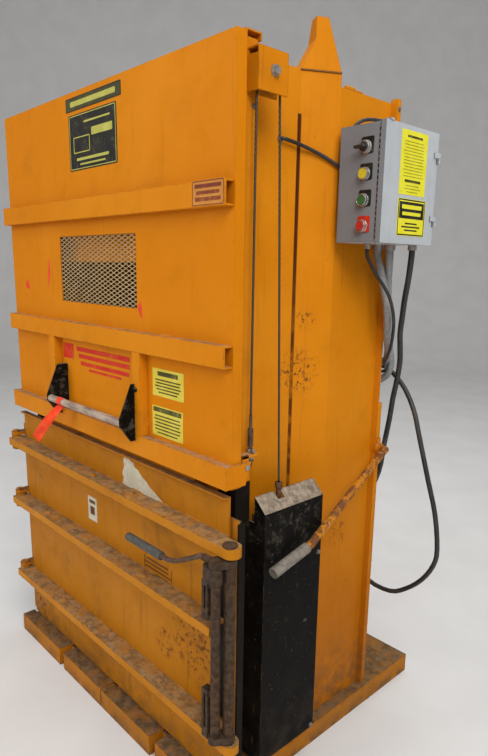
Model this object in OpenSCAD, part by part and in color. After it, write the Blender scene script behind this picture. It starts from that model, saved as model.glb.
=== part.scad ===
/* [Base] */
// Width of the base platform
base_w = 1242; // [1160:1:1500]
// Depth of the base platform behind the gate face
base_back = 947; // [880:1:1200]
// Height of the base, ground to deck
base_h = 70; // [60:1:120]
// Thickness of the deck plate
deck_t = 8; // [5:0.5:12]
// Thickness of the base rails
rail_t = 8; // [5:0.5:12]
// Width of the rail flanges
rail_flange = 48; // [30:1:70]
// Width of the baling-wire slots in the deck
slot_w = 32; // [20:1:45]
// Middles of the baling-wire slots
slot_x = [-294, 14, 323];
// Ends of the sill bars, in pairs
sill_x = [-646, -310, -278, 1, 7, 307, 339, 621];
// Reach of the sill bars in front of the gate face
sill_reach = 51; // [30:1:60]

/* [Body] */
// Half width of the plain front part of the outer skin
skin_x = 528; // [515:1:545]
// Half width of the side columns
column_x = 584; // [575:1:588]
// Where the sloping front of a column starts
column_y0 = 328; // [300:1:340]
// Where the sloping front of a column ends
column_y1 = 431; // [400:1:450]
// Front face of the rear flange of a column
flange_y = 670; // [655:1:680]
// Reach of the rear flange beyond the column
flange_reach = 22; // [12:1:30]
// Height of the top of the rear flange
flange_top = 2045; // [2020:1:2060]
// Thickness of the folded skin
skin_t = 5; // [3:0.5:8]
// Half width of the baling chamber
chamber_x = 455; // [430:1:460]
// Thickness of the chamber walls
wall_t = 6; // [4:0.5:10]
// Front face of the body behind the gate
front_y = 52; // [50:1:60]
// Front face of the rear wall
rear_y = 690; // [684:1:720]
// Height of the front and sloping skin
skin_top = 2069; // [2050:1:2100]
// Height of the body behind the slope
body_top = 2035; // [2020:1:2045]
// Height of the horns above the skin
horn_h = 132; // [80:1:180]
// Height at which a horn becomes straight
horn_knee = 78; // [40:1:100]
// Width of a horn at its top
horn_w = 34; // [25:1:50]
// Depth of a horn at its top
horn_d = 35; // [30:1:45]
// Depth of a horn at its foot
horn_foot = 95; // [90:1:110]
// Thickness of the roof plate
roof_t = 8; // [4:0.5:10]
// Height of the header beam over the gate
header_h = 18; // [14:1:40]

/* [Feed opening and door frame] */
// Height of the lower edge of the feed opening
feed_z0 = 985; // [975:1:990]
// Height of the upper edge of the feed opening
feed_z1 = 1560; // [1500:1:1600]
// Height of the feed sill beam
feed_sill_h = 60; // [40:1:80]
// Front face of the door jambs
jamb_y = 16; // [14:1:20]
// Thickness of the jamb plates
jamb_t = 6; // [4:0.5:8]
// Outer edge of the latch jamb
jamb_x = 665; // [655:1:680]
// Height of the jamb plates
jamb_top = 905; // [890:1:930]
// Depth of the lip at the edge of the latch jamb
jamb_lip = 16; // [8:1:18]

/* [Gate] */
// Half width of the gate
gate_x = 634; // [625:1:640]
// Height of the gate top
gate_top = 2066; // [2000:1:2100]
// Height of the gate bottom
gate_z0 = 990; // [988:1:994]
// Thickness of the gate sheet
gate_t = 3; // [2:0.5:5]
// Depth of the flanges folded back round the gate
gate_fold = 32; // [20:1:38]
// Lift of the gate
gate_lift = 550; // [300:5:560]
// Reach of the stiffening channels in front of the gate
channel_d = 28; // [20:1:35]
// Thickness of the stiffening channels
channel_t = 5; // [3:0.5:6]
// Bottom and top of the upper channel
channel_1 = [1689, 1749];
// Bottom and top of the middle channel
channel_2 = [1306, 1363];
// Bottom and top of the lower channel
channel_3 = [997, 1058];
// Length of the return plates of the lower channel behind the gate face
channel_return = 60; // [45:1:66]
// Face of the window in the gate, width
window_w = 460; // [300:1:520]
// Height of the window
window_h = 212; // [120:1:220]
// Middle of the window
window_c = [-15, 1534];
// Number of mesh diamonds across the window
mesh_cols = 14; // [8:1:18]
// Number of mesh rows up the window
mesh_rows = 17; // [8:1:20]
// Width of a mesh strand
strand_w = 2.6; // [1.5:0.1:4]
// Thickness of the mesh
mesh_t = 2; // [1:0.5:4]
// Left edges of the two ribs below the window
rib_x = [-305, 224];
// Width of a rib
rib_w = 38; // [30:1:50]

/* [Handle] */
// Height of the lifting bar
handle_z = 1098; // [1085:1:1130]
// Distance of the lifting bar in front of the gate face
handle_reach = 68; // [60:1:90]
// Radius of the lifting bar
handle_r = 12; // [8:0.5:15]
// Thickness of the handle brackets
handle_t = 6; // [4:0.5:8]

/* [Lift gear] */
// Front face of the gate tracks
track_y = 45; // [42:1:48]
// Depth of the gate tracks
track_d = 52; // [48:1:54]
// Outer face of the gate tracks
track_x = 600; // [592:1:604]
// Thickness of the gate tracks
track_t = 6; // [4:0.5:7]
// Lower end of the gate tracks
track_z0 = 872; // [860:1:900]
// Plane of the lifting cables
cable_x = 620; // [618:1:622]
// Radius of the lifting cables
cable_r = 3; // [2:0.5:4]
// Height of the sheave axles
sheave_z = 1999; // [1990:1:2005]
// Distance of the sheave axles behind the gate face
sheave_y = 115; // [113:1:118]
// Pitch radius of the sheaves
sheave_r = 38; // [34:1:40]
// Radius of the sheave axles
axle_r = 8; // [6:0.5:10]
// Height of a counterweight
weight_h = 250; // [150:5:255]
// Depth of a counterweight
weight_w = 150; // [100:5:150]
// Thickness of a counterweight
weight_t = 56; // [40:1:60]
// Height of the top of a counterweight with the gate down
weight_top = 880; // [860:1:890]
// Outer face of the counterweight guards
guard_x = 655; // [653:1:665]
// Front face of the guards
guard_y0 = 104; // [101:1:108]
// Rear face of the guards
guard_y1 = 344; // [335:1:350]
// Lower end of the guards
guard_z0 = 110; // [90:1:150]
// Height of the straight part of the guards
guard_z1 = 900; // [880:1:920]
// Thickness of the guards
guard_t = 3; // [2:0.5:4]
// Width of the sloping edge at the top of a guard
lid_w = 42; // [30:1:48]
// Rise of the sloping edge
lid_h = 40; // [20:1:50]

/* [Door] */
// Face of the door in front of which its bars stand
door_y = 4; // [3:0.5:5]
// Thickness of the door plate
door_t = 6; // [4:0.5:8]
// Height of the door top
door_top = 967; // [955:1:975]
// Gap between the door and the deck
door_gap = 4; // [3:0.5:8]
// Right edge of the door
door_x = 620; // [600:1:630]
// Heights of the tops of the three door bars
bar_z = [860, 610, 282];
// Reach of the door bars in front of the door
bar_d = 60; // [50:1:64]
// Height of the front leg of a door bar
bar_h = 28; // [22:1:36]
// Thickness of the door bars
bar_t = 6; // [4:0.5:8]
// Distance of the hinge pins from the middle
hinge_x = 656; // [655:1:664]
// Distance of the hinge pins in front of the gate face
hinge_y = 25; // [22:1:30]
// Radius of the hinge pins
pin_r = 10; // [8:0.5:11]
// Radius of the hinge knuckles
knuckle_r = 18; // [15:0.5:18.5]
// Thickness of the hinge ears
ear_t = 14; // [8:1:18]
// Running clearance of pins and shafts
fit = 0.05; // [0.02:0.01:0.1]

/* [Latch] */
// Distance of the latch shaft from the middle
latch_x = 670; // [666:1:674]
// Distance of the latch shaft in front of the gate face
latch_y = 35; // [33:1:38]
// Radius of the latch shaft
latch_r = 15; // [12:0.5:16]
// Radius of the latch pipe
pipe_r = 13; // [10:0.5:14]
// Place of the latch pipe beside and in front of the shaft
pipe_at = [-19, -31];
// Height of the upper latch arm
arm_z1 = 806; // [790:1:808]
// Height of the lower latch arm
arm_z0 = 290; // [286:1:320]
// Thickness of the latch arms
arm_t = 20; // [12:1:24]
// Height of the lever hub
hub_h = 44; // [30:1:46]
// Length of the grip on the latch lever
grip_len = 170; // [120:1:200]
// Radius of the latch lever rod
lever_r = 7; // [5:0.5:9]

/* [Press] */
// Height of the platen face with the platen up
platen_z = 1600; // [1570:1:1620]
// Stroke of the platen
stroke = 700; // [300:10:700]
// Radius of the ram barrels
barrel_r = 36; // [30:1:40]
// Radius of the ram rods
rod_r = 18; // [14:1:22]
// Distance of the rams from the middle
ram_x = 512; // [508:1:514]
// Distance of the rams behind the gate face
ram_y = 400; // [395:1:420]
// Top of the ram barrels
barrel_top = 1150; // [1000:10:1180]
// Height of the top of the yoke beam with the platen up
yoke_top = 2010; // [1980:1:2016]
// Height of the yoke beam
yoke_h = 80; // [50:1:90]
// Depth of the yoke beam
yoke_d = 60; // [40:1:64]
// Clearance of the platen in the chamber
platen_gap = 10; // [5:1:20]

/* [Control box] */
// Width, depth and height of the control box
box_size = [146, 254, 302];
// Corner of the control box nearest the middle, the front and the ground
box_at = [606, 412, 1622];
// Thickness of the box sheet
box_t = 2; // [1.5:0.5:3]
// Heights of the four operators on the box front
operator_z = [1865, 1798, 1731, 1664];
// Radius of the push-buttons
button_r = 13; // [10:0.5:15]
// Travel of the push-buttons
button_travel = 5; // [3:0.5:6]

/* [Side lever] */
// Plane of the grip of the side lever
side_x = 678; // [677:1:690]
// Plane of its elbow
elbow_x = 636; // [632:1:650]
// Height of the pivot of the side lever
side_z = 966; // [950:1:1000]
// Bend where its grip starts, behind the gate face and above the ground
side_bend = [272, 772];
// End of its grip
side_end = [116, 734];
// Radius of the side lever
side_r = 12; // [9:0.5:13]

/* [Power unit] */
// Width, depth and height of the oil tank
tank_size = [420, 200, 330];
// Radius of the pump motor
motor_r = 92; // [70:1:95]
// Length of the pump motor
motor_len = 260; // [180:5:280]

/* [Hidden] */
$fa = 10;
$fs = 2;
EPS = 0.01;

// colours as the object has them
paint = "#E0920E";
paint_dark = "#C07A10";
black_paint = "#26241F";
bare_steel = "#8A8580";
rusty = "#6E4A30";
box_grey = "#9CA0A2";
grip_grey = "#7C7C78";

// the gate face lies this far in front of the middle of the base
base_d = base_back + sill_reach;
face_y = -(base_d / 2 - sill_reach);
rest_gap = 0.3;

// everything below is drawn with y measured back from the gate face
module placed() translate([0, face_y, 0]) children();
module both() {
    children();
    mirror([1, 0, 0]) children();
}
// plate with an outline in x and z, its front face at y
module plate_xz(y, t) translate([0, y + t, 0]) rotate([90, 0, 0]) linear_extrude(t) children();
// plate with an outline in y and z, its inner face at x
module plate_yz(x, t) translate([x, 0, 0]) rotate([90, 0, 90]) linear_extrude(t) children();
// plate with an outline in x and y, its lower face at z
module plate_xy(z, t) translate([0, 0, z]) linear_extrude(t) children();
module block(lo, hi) translate(lo) cube(hi - lo);
module rod_x(x0, x1, y, z, r) translate([x0, y, z]) rotate([0, 90, 0]) cylinder(h = x1 - x0, r = r);
module rod_y(y0, y1, x, z, r) translate([x, y0, z]) rotate([-90, 0, 0]) cylinder(h = y1 - y0, r = r);
module rod_z(z0, z1, x, y, r) translate([x, y, z0]) cylinder(h = z1 - z0, r = r);
// a round bar between two points
module bar_between(a, b, r) {
    v = b - a;
    len = norm(v);
    translate(a) rotate([0, acos(v[2] / len), atan2(v[1], v[0])]) cylinder(h = len, r = r);
}
// hexagon head with a washer, seated on a face that looks along +x
module hex_x(size) rotate([0, 90, 0]) {
    cylinder(h = size * 0.2, r = size * 1.05);
    translate([0, 0, size * 0.2 - EPS]) cylinder(h = size * 0.65, r = size * 0.85, $fn = 6);
}
// the same on a face that looks forward
module hex_y(size) rotate([0, 0, -90]) hex_x(size);

// sweep of a round section along a route, for cables and hoses
function unit(v) = v / norm(v);
function tangent(p, i) = unit(p[min(i + 1, len(p) - 1)] - p[max(i - 1, 0)]);
function side_of(t) = abs(t[2]) > 0.95 ? unit(cross(t, [1, 0, 0])) : unit(cross(t, [0, 0, 1]));
function carried(p, i) = i == 0 ? side_of(tangent(p, 0))
    : let (s = carried(p, i - 1), t = tangent(p, i)) unit(s - t * (s * t));
// smooth points through a route chosen by hand
function mid_point(a, b, c, d, u) = 0.5 * (2 * b + (c - a) * u + (2 * a - 5 * b + 4 * c - d) * u * u
    + (3 * b - a - 3 * c + d) * u * u * u);
// the first and last stretches stay straight, so that the ends meet their fittings squarely
function smooth(p, n) = [for (i = [0 : len(p) - 2], k = [0 : n - 1]) i == 0 || i == len(p) - 2
    ? p[i] + (p[i + 1] - p[i]) * k / n
    : mid_point(p[i - 1], p[i], p[i + 1], p[i + 2], k / n), p[len(p) - 1]];
module tube(p, r, sides = 8) {
    rings = [for (i = [0 : len(p) - 1]) let (t = tangent(p, i), s = carried(p, i), q = cross(t, s))
        for (k = [0 : sides - 1]) p[i] + r * (cos(360 * k / sides) * s + sin(360 * k / sides) * q)];
    n = len(p);
    walls = [for (i = [0 : n - 2], k = [0 : sides - 1])
        let (m = (k + 1) % sides) [i * sides + k, i * sides + m, (i + 1) * sides + m, (i + 1) * sides + k]];
    polyhedron(points = rings, faces = concat(walls, [[for (k = [sides - 1 : -1 : 0]) k]],
        [[for (k = [0 : sides - 1]) (n - 1) * sides + k]]), convexity = 4);
}

// sizes that several pieces share
base_x = base_w / 2;
deck_z0 = base_h - deck_t;
roof_z = body_top - roof_t;
slope_angle = atan2(column_y1 - column_y0, column_x - skin_x);
slope_len = norm([column_x - skin_x, column_y1 - column_y0]);
slope_in = skin_t * tan((90 - slope_angle) / 2);
sheave_front = sheave_y - sheave_r;
sheave_back = sheave_y + sheave_r;
sheave_box_y = [sheave_front - 14, sheave_back + 8];
sheave_box_z = [sheave_z - 49, sheave_z + 46];
sheave_box_x = [track_x, cable_x + 20];
sheave_half = 11;
latch_at = [latch_x, -latch_y];
pipe_pos = latch_at + pipe_at;
hinge_at = [-hinge_x, -hinge_y];
slot_y = [track_y, track_y + track_d];
track_mid = (skin_x + track_x) / 2;
shoe_stem = 10;
weight_y = guard_y0 + guard_t + 8 + weight_w / 2;
eye_z = weight_top + 85;
anchor_z = channel_3[1] + 117;
yoke_bottom = yoke_top - yoke_h;
bar_x1 = [latch_x, door_x - 7, latch_x];
operator_x = box_at[0] + 87;
panel_y = box_at[1];
box_x1 = box_at[0] + box_size[0];
box_y1 = box_at[1] + box_size[1];
box_z1 = box_at[2] + box_size[2];

// a bend in a round bar is a ball a little wider than the bar
bend_swell = 0.8;
// chain of round bars through the points of a route
module rod_route(p, r) {
    for (i = [0 : len(p) - 2]) bar_between(p[i], p[i + 1], r);
    for (i = [1 : len(p) - 2]) translate(p[i]) sphere(r = r + bend_swell);
}
// flat link with round ends between two points of the plan
module link_2d(a, b, r) {
    v = b - a;
    translate(a) circle(r = r);
    translate(b) circle(r = r);
    translate(a) rotate(atan2(v[1], v[0])) translate([0, -r]) square([norm(v), 2 * r]);
}
// outline of the outer skin of the right column, seen from above
function skin_outline(t) = [[skin_x - t, front_y], [skin_x, front_y], [skin_x, column_y0],
    [column_x, column_y1], [column_x, rear_y], [column_x - t, rear_y],
    [column_x - t, column_y1 + slope_in], [skin_x - t, column_y0 + slope_in]];
// outer edge of the rear flange, and the heights between which it isn't folded
flange_x = column_x + flange_reach;
fold_low = 1120;
fold_high = 1960;
// the sloping face of a column, with x along it and y into the body
module on_slope() translate([skin_x, column_y0, 0]) rotate([0, 0, slope_angle]) children();

// base

module base_rails() color(paint) placed() {
    both() {
        block([base_x - rail_t, 0, 0], [base_x, base_back, deck_z0]);
        block([base_x - rail_flange, 0, 0], [base_x, base_back, rail_t]);
        block([base_x - rail_flange, 0, deck_z0 - rail_t], [base_x, base_back, deck_z0]);
    }
    // the middle rail stands clear of the slot over it
    block([-rail_flange / 2, 0, 0], [-rail_flange / 2 + rail_t, base_back, deck_z0]);
    block([-rail_flange, 0, 0], [rail_flange, base_back, rail_t]);
    for (y = [0, rear_y, base_back - rail_t])
        block([-base_x, y, 0], [base_x, y + rail_t, deck_z0]);
}

// the deck is parted by the slots that the baling wires pass through
module deck_plate() color(paint) placed() {
    edges = concat([-base_x], [for (x = slot_x, s = [-1, 1]) x + s * slot_w / 2], [base_x]);
    for (i = [0 : 2 : len(edges) - 2])
        block([edges[i], 0, deck_z0], [edges[i + 1], base_back, base_h]);
}

module sill_bars() color(paint) placed()
    for (i = [0 : 2 : len(sill_x) - 2]) {
        block([sill_x[i], -sill_reach, 0], [sill_x[i + 1], -sill_reach + rail_t, base_h]);
        block([sill_x[i], -sill_reach, deck_z0], [sill_x[i + 1], 0, base_h]);
        for (x = [sill_x[i], sill_x[i + 1] - rail_t])
            block([x, -sill_reach, 0], [x + rail_t, 0, base_h]);
    }

// body

// each wall has a slot in which the arm of the yoke travels
module chamber_walls() color(paint_dark) placed() both()
    plate_yz(chamber_x, wall_t) difference() {
        translate([front_y + skin_t, base_h]) square([rear_y - front_y - skin_t, roof_z - base_h]);
        translate([ram_y - yoke_d / 2 - 5, yoke_bottom - stroke - 10])
            square([yoke_d + 10, stroke + yoke_h + 14]);
    }

module side_housings() color(paint) placed() both() {
    plate_xy(base_h, body_top - base_h) polygon(skin_outline(skin_t));
    plate_xy(body_top, skin_top - body_top) intersection() {
        polygon(skin_outline(skin_t));
        translate([0, front_y]) square([column_x + 1, column_y1 - front_y]);
    }
    // rear flange beyond the column, folded back above and below the run of the cables
    block([column_x, flange_y, base_h], [flange_x, flange_y + skin_t, flange_top]);
    for (z = [[base_h, fold_low], [fold_high, flange_top]])
        block([flange_x - skin_t, flange_y, z[0]], [flange_x, rear_y, z[1]]);
}

// profiles of a horn along the slope and into the body, drawn in by g for its hollow
function horn_face(g) = [[g * 1.6, g > 0 ? -EPS : 0], [slope_len - g * 1.6, g > 0 ? -EPS : 0],
    [horn_knee / 2 + horn_w - g, horn_h - g], [horn_knee / 2 + g, horn_h - g],
    [horn_knee / 2 + g, horn_knee - g]];
function horn_side(g) = [[g, g > 0 ? -EPS : 0], [horn_foot - g * 1.4, g > 0 ? -EPS : 0],
    [horn_d - g, horn_h - g], [g, horn_h - g]];
module horn_body(g) {
    translate([0, 0, skin_top]) intersection() {
        translate([0, horn_foot, 0]) rotate([90, 0, 0]) linear_extrude(horn_foot) polygon(horn_face(g));
        rotate([90, 0, 90]) linear_extrude(slope_len) polygon(horn_side(g));
    }
    block([6 + g, skin_t + g, body_top - (g > 0 ? 1 : 0)],
        [slope_len - 6 - g, horn_foot - g, skin_top]);
}
module corner_horns() color(paint) placed() both() on_slope() difference() {
    horn_body(0);
    horn_body(4);
}

module rear_wall() color(paint) placed() {
    difference() {
        block([-column_x, rear_y, base_h], [column_x, rear_y + wall_t, body_top]);
        // the baling wires are threaded through these slots
        for (x = slot_x) block([x - slot_w / 2, rear_y - 1, base_h + 30],
            [x + slot_w / 2, rear_y + wall_t + 1, feed_z0 - 40]);
    }
    // folded stiffeners across the back
    for (z = [1080, 1400, 1720])
        translate([-chamber_x, rear_y + wall_t, z]) rotate([90, 0, 90]) linear_extrude(2 * chamber_x)
            polygon([[0, 0], [30, 8], [30, 52], [0, 60], [0, 55], [25, 48], [25, 12], [0, 5]]);
}

module roof_plate() color(paint_dark) placed() difference() {
    plate_xy(roof_z, roof_t) polygon(concat(
        [[skin_x - skin_t, front_y + skin_t], [skin_x - skin_t, column_y0 + slope_in],
            [column_x - skin_t, column_y1 + slope_in], [column_x - skin_t, rear_y]],
        [[-column_x + skin_t, rear_y], [-column_x + skin_t, column_y1 + slope_in],
            [-skin_x + skin_t, column_y0 + slope_in], [-skin_x + skin_t, front_y + skin_t]]));
    // the rod ends come up through the roof under the horns
    for (s = [-1, 1]) rod_z(roof_z - 1, body_top + 1, s * ram_x, ram_y, rod_r + 8);
}

module header_beam() color(paint) placed() {
    header_t = 4;
    depth = 50;
    block([-track_x, front_y + 8, skin_top + header_h - header_t],
        [track_x, front_y + 8 + depth, skin_top + header_h]);
    for (y = [front_y + 8, front_y + 8 + depth - header_t])
        block([-track_x, y, skin_top], [track_x, y + header_t, skin_top + header_h]);
}

// fixed front behind the gate, open where waste is fed in
module front_panel() color(paint) placed() plate_xz(front_y, skin_t) difference() {
    translate([-skin_x + skin_t, base_h]) square([2 * (skin_x - skin_t), skin_top - base_h]);
    translate([-chamber_x, base_h - 1]) square([2 * chamber_x, feed_z1 - base_h + 1]);
}

// lipped channels: the heads of the gate shoes run inside them
module gate_tracks() color(paint) placed() both() difference() {
    block([skin_x, slot_y[0], track_z0], [track_x, slot_y[1], skin_top]);
    block([skin_x + track_t, slot_y[0] + track_t, track_z0 - 1],
        [track_x - track_t, slot_y[1] - track_t, skin_top + 1]);
    block([track_mid - shoe_stem - 2, slot_y[0] - 1, track_z0 - 1],
        [track_mid + shoe_stem + 2, slot_y[0] + track_t + 1, skin_top + 1]);
}

// ear of a door hinge, seen from above, with its bore
module ear(z) plate_xy(z, ear_t) difference() {
    union() {
        translate(hinge_at) circle(r = knuckle_r);
        translate([-hinge_x - knuckle_r, -hinge_y]) square([2 * knuckle_r, hinge_y + jamb_y]);
    }
    translate(hinge_at) circle(r = pin_r + fit);
}

module door_frame() color(paint) placed() {
    // latch jamb with its forward lip
    block([chamber_x, jamb_y, base_h], [jamb_x, jamb_y + jamb_t, jamb_top]);
    block([jamb_x - jamb_t, jamb_y - jamb_lip, base_h], [jamb_x, jamb_y + EPS, jamb_top]);
    // hinge jamb
    block([-hinge_x - knuckle_r, jamb_y, base_h], [-chamber_x, jamb_y + jamb_t, jamb_top]);
    both() block([chamber_x, jamb_y, base_h], [chamber_x + wall_t, front_y, feed_z0]);
    // feed sill between the door and the gate
    block([-chamber_x, jamb_y, feed_z0 - feed_sill_h], [chamber_x, jamb_y + jamb_t, feed_z0]);
    block([-chamber_x, jamb_y, feed_z0 - jamb_t], [chamber_x, front_y, feed_z0]);
    block([-chamber_x, jamb_y, feed_z0 - feed_sill_h], [chamber_x, front_y, feed_z0 - feed_sill_h + jamb_t]);
    for (z = bar_z) {
        ear(z + knuckle_up + 1);
        ear(z - bar_h - knuckle_up - 1 - ear_t);
    }
}
knuckle_up = 6;

// hinge pins of the door and axles of the sheaves
module pins() color(bare_steel) placed() {
    for (z = bar_z) {
        low = z - bar_h - knuckle_up - 1 - ear_t;
        high = z + knuckle_up + 1 + ear_t;
        rod_z(low - 4, high, hinge_at[0], hinge_at[1], pin_r);
        rod_z(high, high + 6, hinge_at[0], hinge_at[1], pin_r + 4);
    }
    both() {
        rod_x(sheave_box_x[0], sheave_box_x[1], sheave_y, sheave_z, axle_r);
        translate([sheave_box_x[1], sheave_y, sheave_z]) hex_x(axle_r * 1.6);
    }
}

module sheave_boxes() color(paint) placed() both() difference() {
    plate_t = 4;
    union() {
        for (x = [sheave_box_x[0], sheave_box_x[1] - plate_t])
            block([x, sheave_box_y[0], sheave_box_z[0]], [x + plate_t, sheave_box_y[1], sheave_box_z[1]]);
        // front plate, open above
        block([sheave_box_x[0], sheave_box_y[0], sheave_box_z[0]],
            [sheave_box_x[1], sheave_box_y[0] + plate_t, sheave_box_z[1] - 16]);
        block([sheave_box_x[0], sheave_box_y[0], sheave_box_z[1] - plate_t],
            [sheave_box_x[1], sheave_box_y[1], sheave_box_z[1]]);
    }
    rod_x(sheave_box_x[0] - 1, sheave_box_x[1] + 1, sheave_y, sheave_z, axle_r);
    // sloping corner at the back of the top edge
    translate([0, sheave_box_y[1], sheave_box_z[1]]) rotate([-20, 0, 0])
        block([sheave_box_x[1] - plate_t - EPS, -30, 0], [sheave_box_x[1] + 1, 30, 30]);
}

// guard over the run of a counterweight, open below
module weight_guards() color(black_paint) placed() both() {
    top = guard_z1 + lid_h;
    front_outline = [[skin_x, guard_z0], [guard_x, guard_z0], [guard_x, guard_z1],
        [guard_x - lid_w, top], [guard_x - lid_w, guard_z1 - 35], [skin_x, guard_z1 - 35]];
    rear_x = skin_x + (guard_y1 - column_y0) / tan(slope_angle) + rest_gap;
    plate_yz(guard_x - guard_t, guard_t)
        translate([guard_y0, guard_z0]) square([guard_y1 - guard_y0, guard_z1 - guard_z0]);
    plate_xz(guard_y0, guard_t) polygon(front_outline);
    plate_xz(guard_y1 - guard_t, guard_t)
        polygon([[rear_x, guard_z0], [guard_x, guard_z0], [guard_x, guard_z1], [rear_x, guard_z1]]);
    // sloping edge, notched where the hanger of the weight passes
    difference() {
        plate_xz(guard_y0, guard_y1 - guard_y0) polygon([[guard_x - guard_t, guard_z1 - 3],
            [guard_x, guard_z1], [guard_x - lid_w, top], [guard_x - lid_w, top - 4]]);
        block([guard_x - lid_w - 1, weight_y - 22, guard_z1 - 10], [cable_x + 20, weight_y + 22, top + 1]);
    }
}

// the rams stand on shelves in the side housings and pull the yoke down
module ram_barrels() color(bare_steel) placed() both() {
    foot_z = barrel_top - stroke - 130;
    gland = 40;
    difference() {
        union() {
            rod_z(foot_z, barrel_top, ram_x, ram_y, barrel_r);
            block([ram_x - barrel_r - 6, ram_y - barrel_r - 2, foot_z],
                [ram_x + 26, ram_y + barrel_r + 8, foot_z + 12]);
        }
        rod_z(foot_z + 20, barrel_top - gland, ram_x, ram_y, barrel_r - 6);
        rod_z(barrel_top - gland - 1, barrel_top + 1, ram_x, ram_y, rod_r + fit);
    }
    block([chamber_x + wall_t, ram_y - 36, foot_z - 15], [ram_x + 28, ram_y + 46, foot_z]);
}

// power unit behind the body

motor_z = base_h + tank_size[2] + motor_r + 12;
unit_y = rear_y + wall_t + 26 + tank_size[1] / 2;
motor_x0 = -60;

module oil_tank() color(paint_dark) placed() {
    half = tank_size[0] / 2;
    difference() {
        block([-half, unit_y - tank_size[1] / 2, base_h],
            [half, unit_y + tank_size[1] / 2, base_h + tank_size[2] - 6]);
        block([-half + 5, unit_y - tank_size[1] / 2 + 5, base_h + 5],
            [half - 5, unit_y + tank_size[1] / 2 - 5, base_h + tank_size[2]]);
    }
    // lid with its lip, filler and level glass
    block([-half - 6, unit_y - tank_size[1] / 2 - 6, base_h + tank_size[2] - 6],
        [half + 6, unit_y + tank_size[1] / 2 + 6, base_h + tank_size[2]]);
    rod_z(base_h + tank_size[2], base_h + tank_size[2] + 26, -half + 40, unit_y + 60, 26);
    rod_z(base_h + tank_size[2] + 26, base_h + tank_size[2] + 44, -half + 40, unit_y + 60, 32);
    block([half - 80, unit_y + tank_size[1] / 2, base_h + 150],
        [half - 60, unit_y + tank_size[1] / 2 + 8, base_h + 260]);
}

module pump_motor() color(box_grey) placed() {
    end = motor_x0 + motor_len;
    // ribbed frame of the motor between its end bells
    difference() {
        rod_x(motor_x0, end, unit_y, motor_z, motor_r);
        for (x = [motor_x0 + 34 : 14 : end - 40]) difference() {
            rod_x(x, x + 7, unit_y, motor_z, motor_r + 1);
            rod_x(x - 1, x + 8, unit_y, motor_z, motor_r - 7);
        }
    }
    rod_x(end, end + 22, unit_y, motor_z, motor_r - 14);
    for (x = [motor_x0 + 24, end - 64])
        block([x, unit_y - 74, motor_z - motor_r - 12], [x + 40, unit_y + 74, motor_z - motor_r + 26]);
    // terminal box
    block([motor_x0 + 90, unit_y - 44, motor_z + motor_r - 14],
        [motor_x0 + 190, unit_y + 44, motor_z + motor_r + 46]);
    // bell housing and gear pump
    rod_x(motor_x0 - 46, motor_x0, unit_y, motor_z, 58);
    block([motor_x0 - 116, unit_y - 38, motor_z - 48], [motor_x0 - 46, unit_y + 38, motor_z + 48]);
    rod_z(base_h + tank_size[2], motor_z - 48, motor_x0 - 80, unit_y, 15);
}

pipe_r2 = 7;
valve_x = 150;
port_z = motor_z + 300;
module valve_and_pipes() color(bare_steel) placed() {
    back = rear_y + wall_t;
    // manifold on the rear wall with its two solenoids
    block([valve_x, back, port_z - 130], [valve_x + 100, back + 70, port_z - 20]);
    for (z = [port_z - 110, port_z - 60]) rod_x(valve_x + 100, valve_x + 150, back + 36, z + 8, 17);
    // line from the pump, and one line to each ram
    rod_route([[motor_x0 - 80, unit_y, motor_z + 48], [motor_x0 - 80, unit_y, port_z - 40],
        [motor_x0 - 80, back + 50, port_z - 40], [valve_x, back + 50, port_z - 40]], pipe_r2);
    rod_route([[valve_x + 60, back + 20, port_z - 20], [valve_x + 60, back + 20, port_z + 20],
        [ram_x - 12, back + 20, port_z + 20], [ram_x - 12, back, port_z + 20]], pipe_r2);
    rod_route([[valve_x + 25, back + 20, port_z - 20], [valve_x + 25, back + 20, port_z + 60],
        [-ram_x + 12, back + 20, port_z + 60], [-ram_x + 12, back, port_z + 60]], pipe_r2);
}

// gate

module gate_sheet() color(paint) placed() {
    difference() {
        block([-gate_x, 0, gate_z0], [gate_x, gate_t, gate_top]);
        block([window_c[0] - window_w / 2, -1, window_c[1] - window_h / 2],
            [window_c[0] + window_w / 2, gate_t + 1, window_c[1] + window_h / 2]);
    }
    both() block([gate_x - gate_t, 0, gate_z0], [gate_x, gate_fold, gate_top]);
    for (z = [gate_z0, gate_top - gate_t])
        block([-gate_x, 0, z], [gate_x, gate_fold, z + gate_t]);
}

// channel with its open side against the gate
module front_channel(x0, x1, z) {
    block([x0, -channel_d, z[0]], [x1, -channel_d + channel_t, z[1]]);
    for (low = [z[0], z[1] - channel_t]) block([x0, -channel_d, low], [x1, 0, low + channel_t]);
}
module gate_channels() color(paint) placed() {
    front_channel(-gate_x + 4, gate_x - 4, channel_1);
    front_channel(-gate_x + 4, gate_x - 4, channel_2);
    front_channel(-gate_x - 9, gate_x + 9, channel_3);
    // the lower channel wraps round both edges of the gate
    both() plate_yz(gate_x + 4, channel_t) polygon([[-channel_d, channel_3[0]],
        [channel_return - 20, channel_3[0]], [channel_return, channel_3[1]], [-channel_d, channel_3[1]]]);
}

module gate_ribs() color(paint) placed() for (x = rib_x) {
    block([x, -channel_d, channel_3[1]], [x + rib_w, -channel_d + channel_t, channel_2[0]]);
    for (s = [x, x + rib_w - channel_t])
        block([s, -channel_d, channel_3[1]], [s + channel_t, 0, channel_2[0]]);
}

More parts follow.
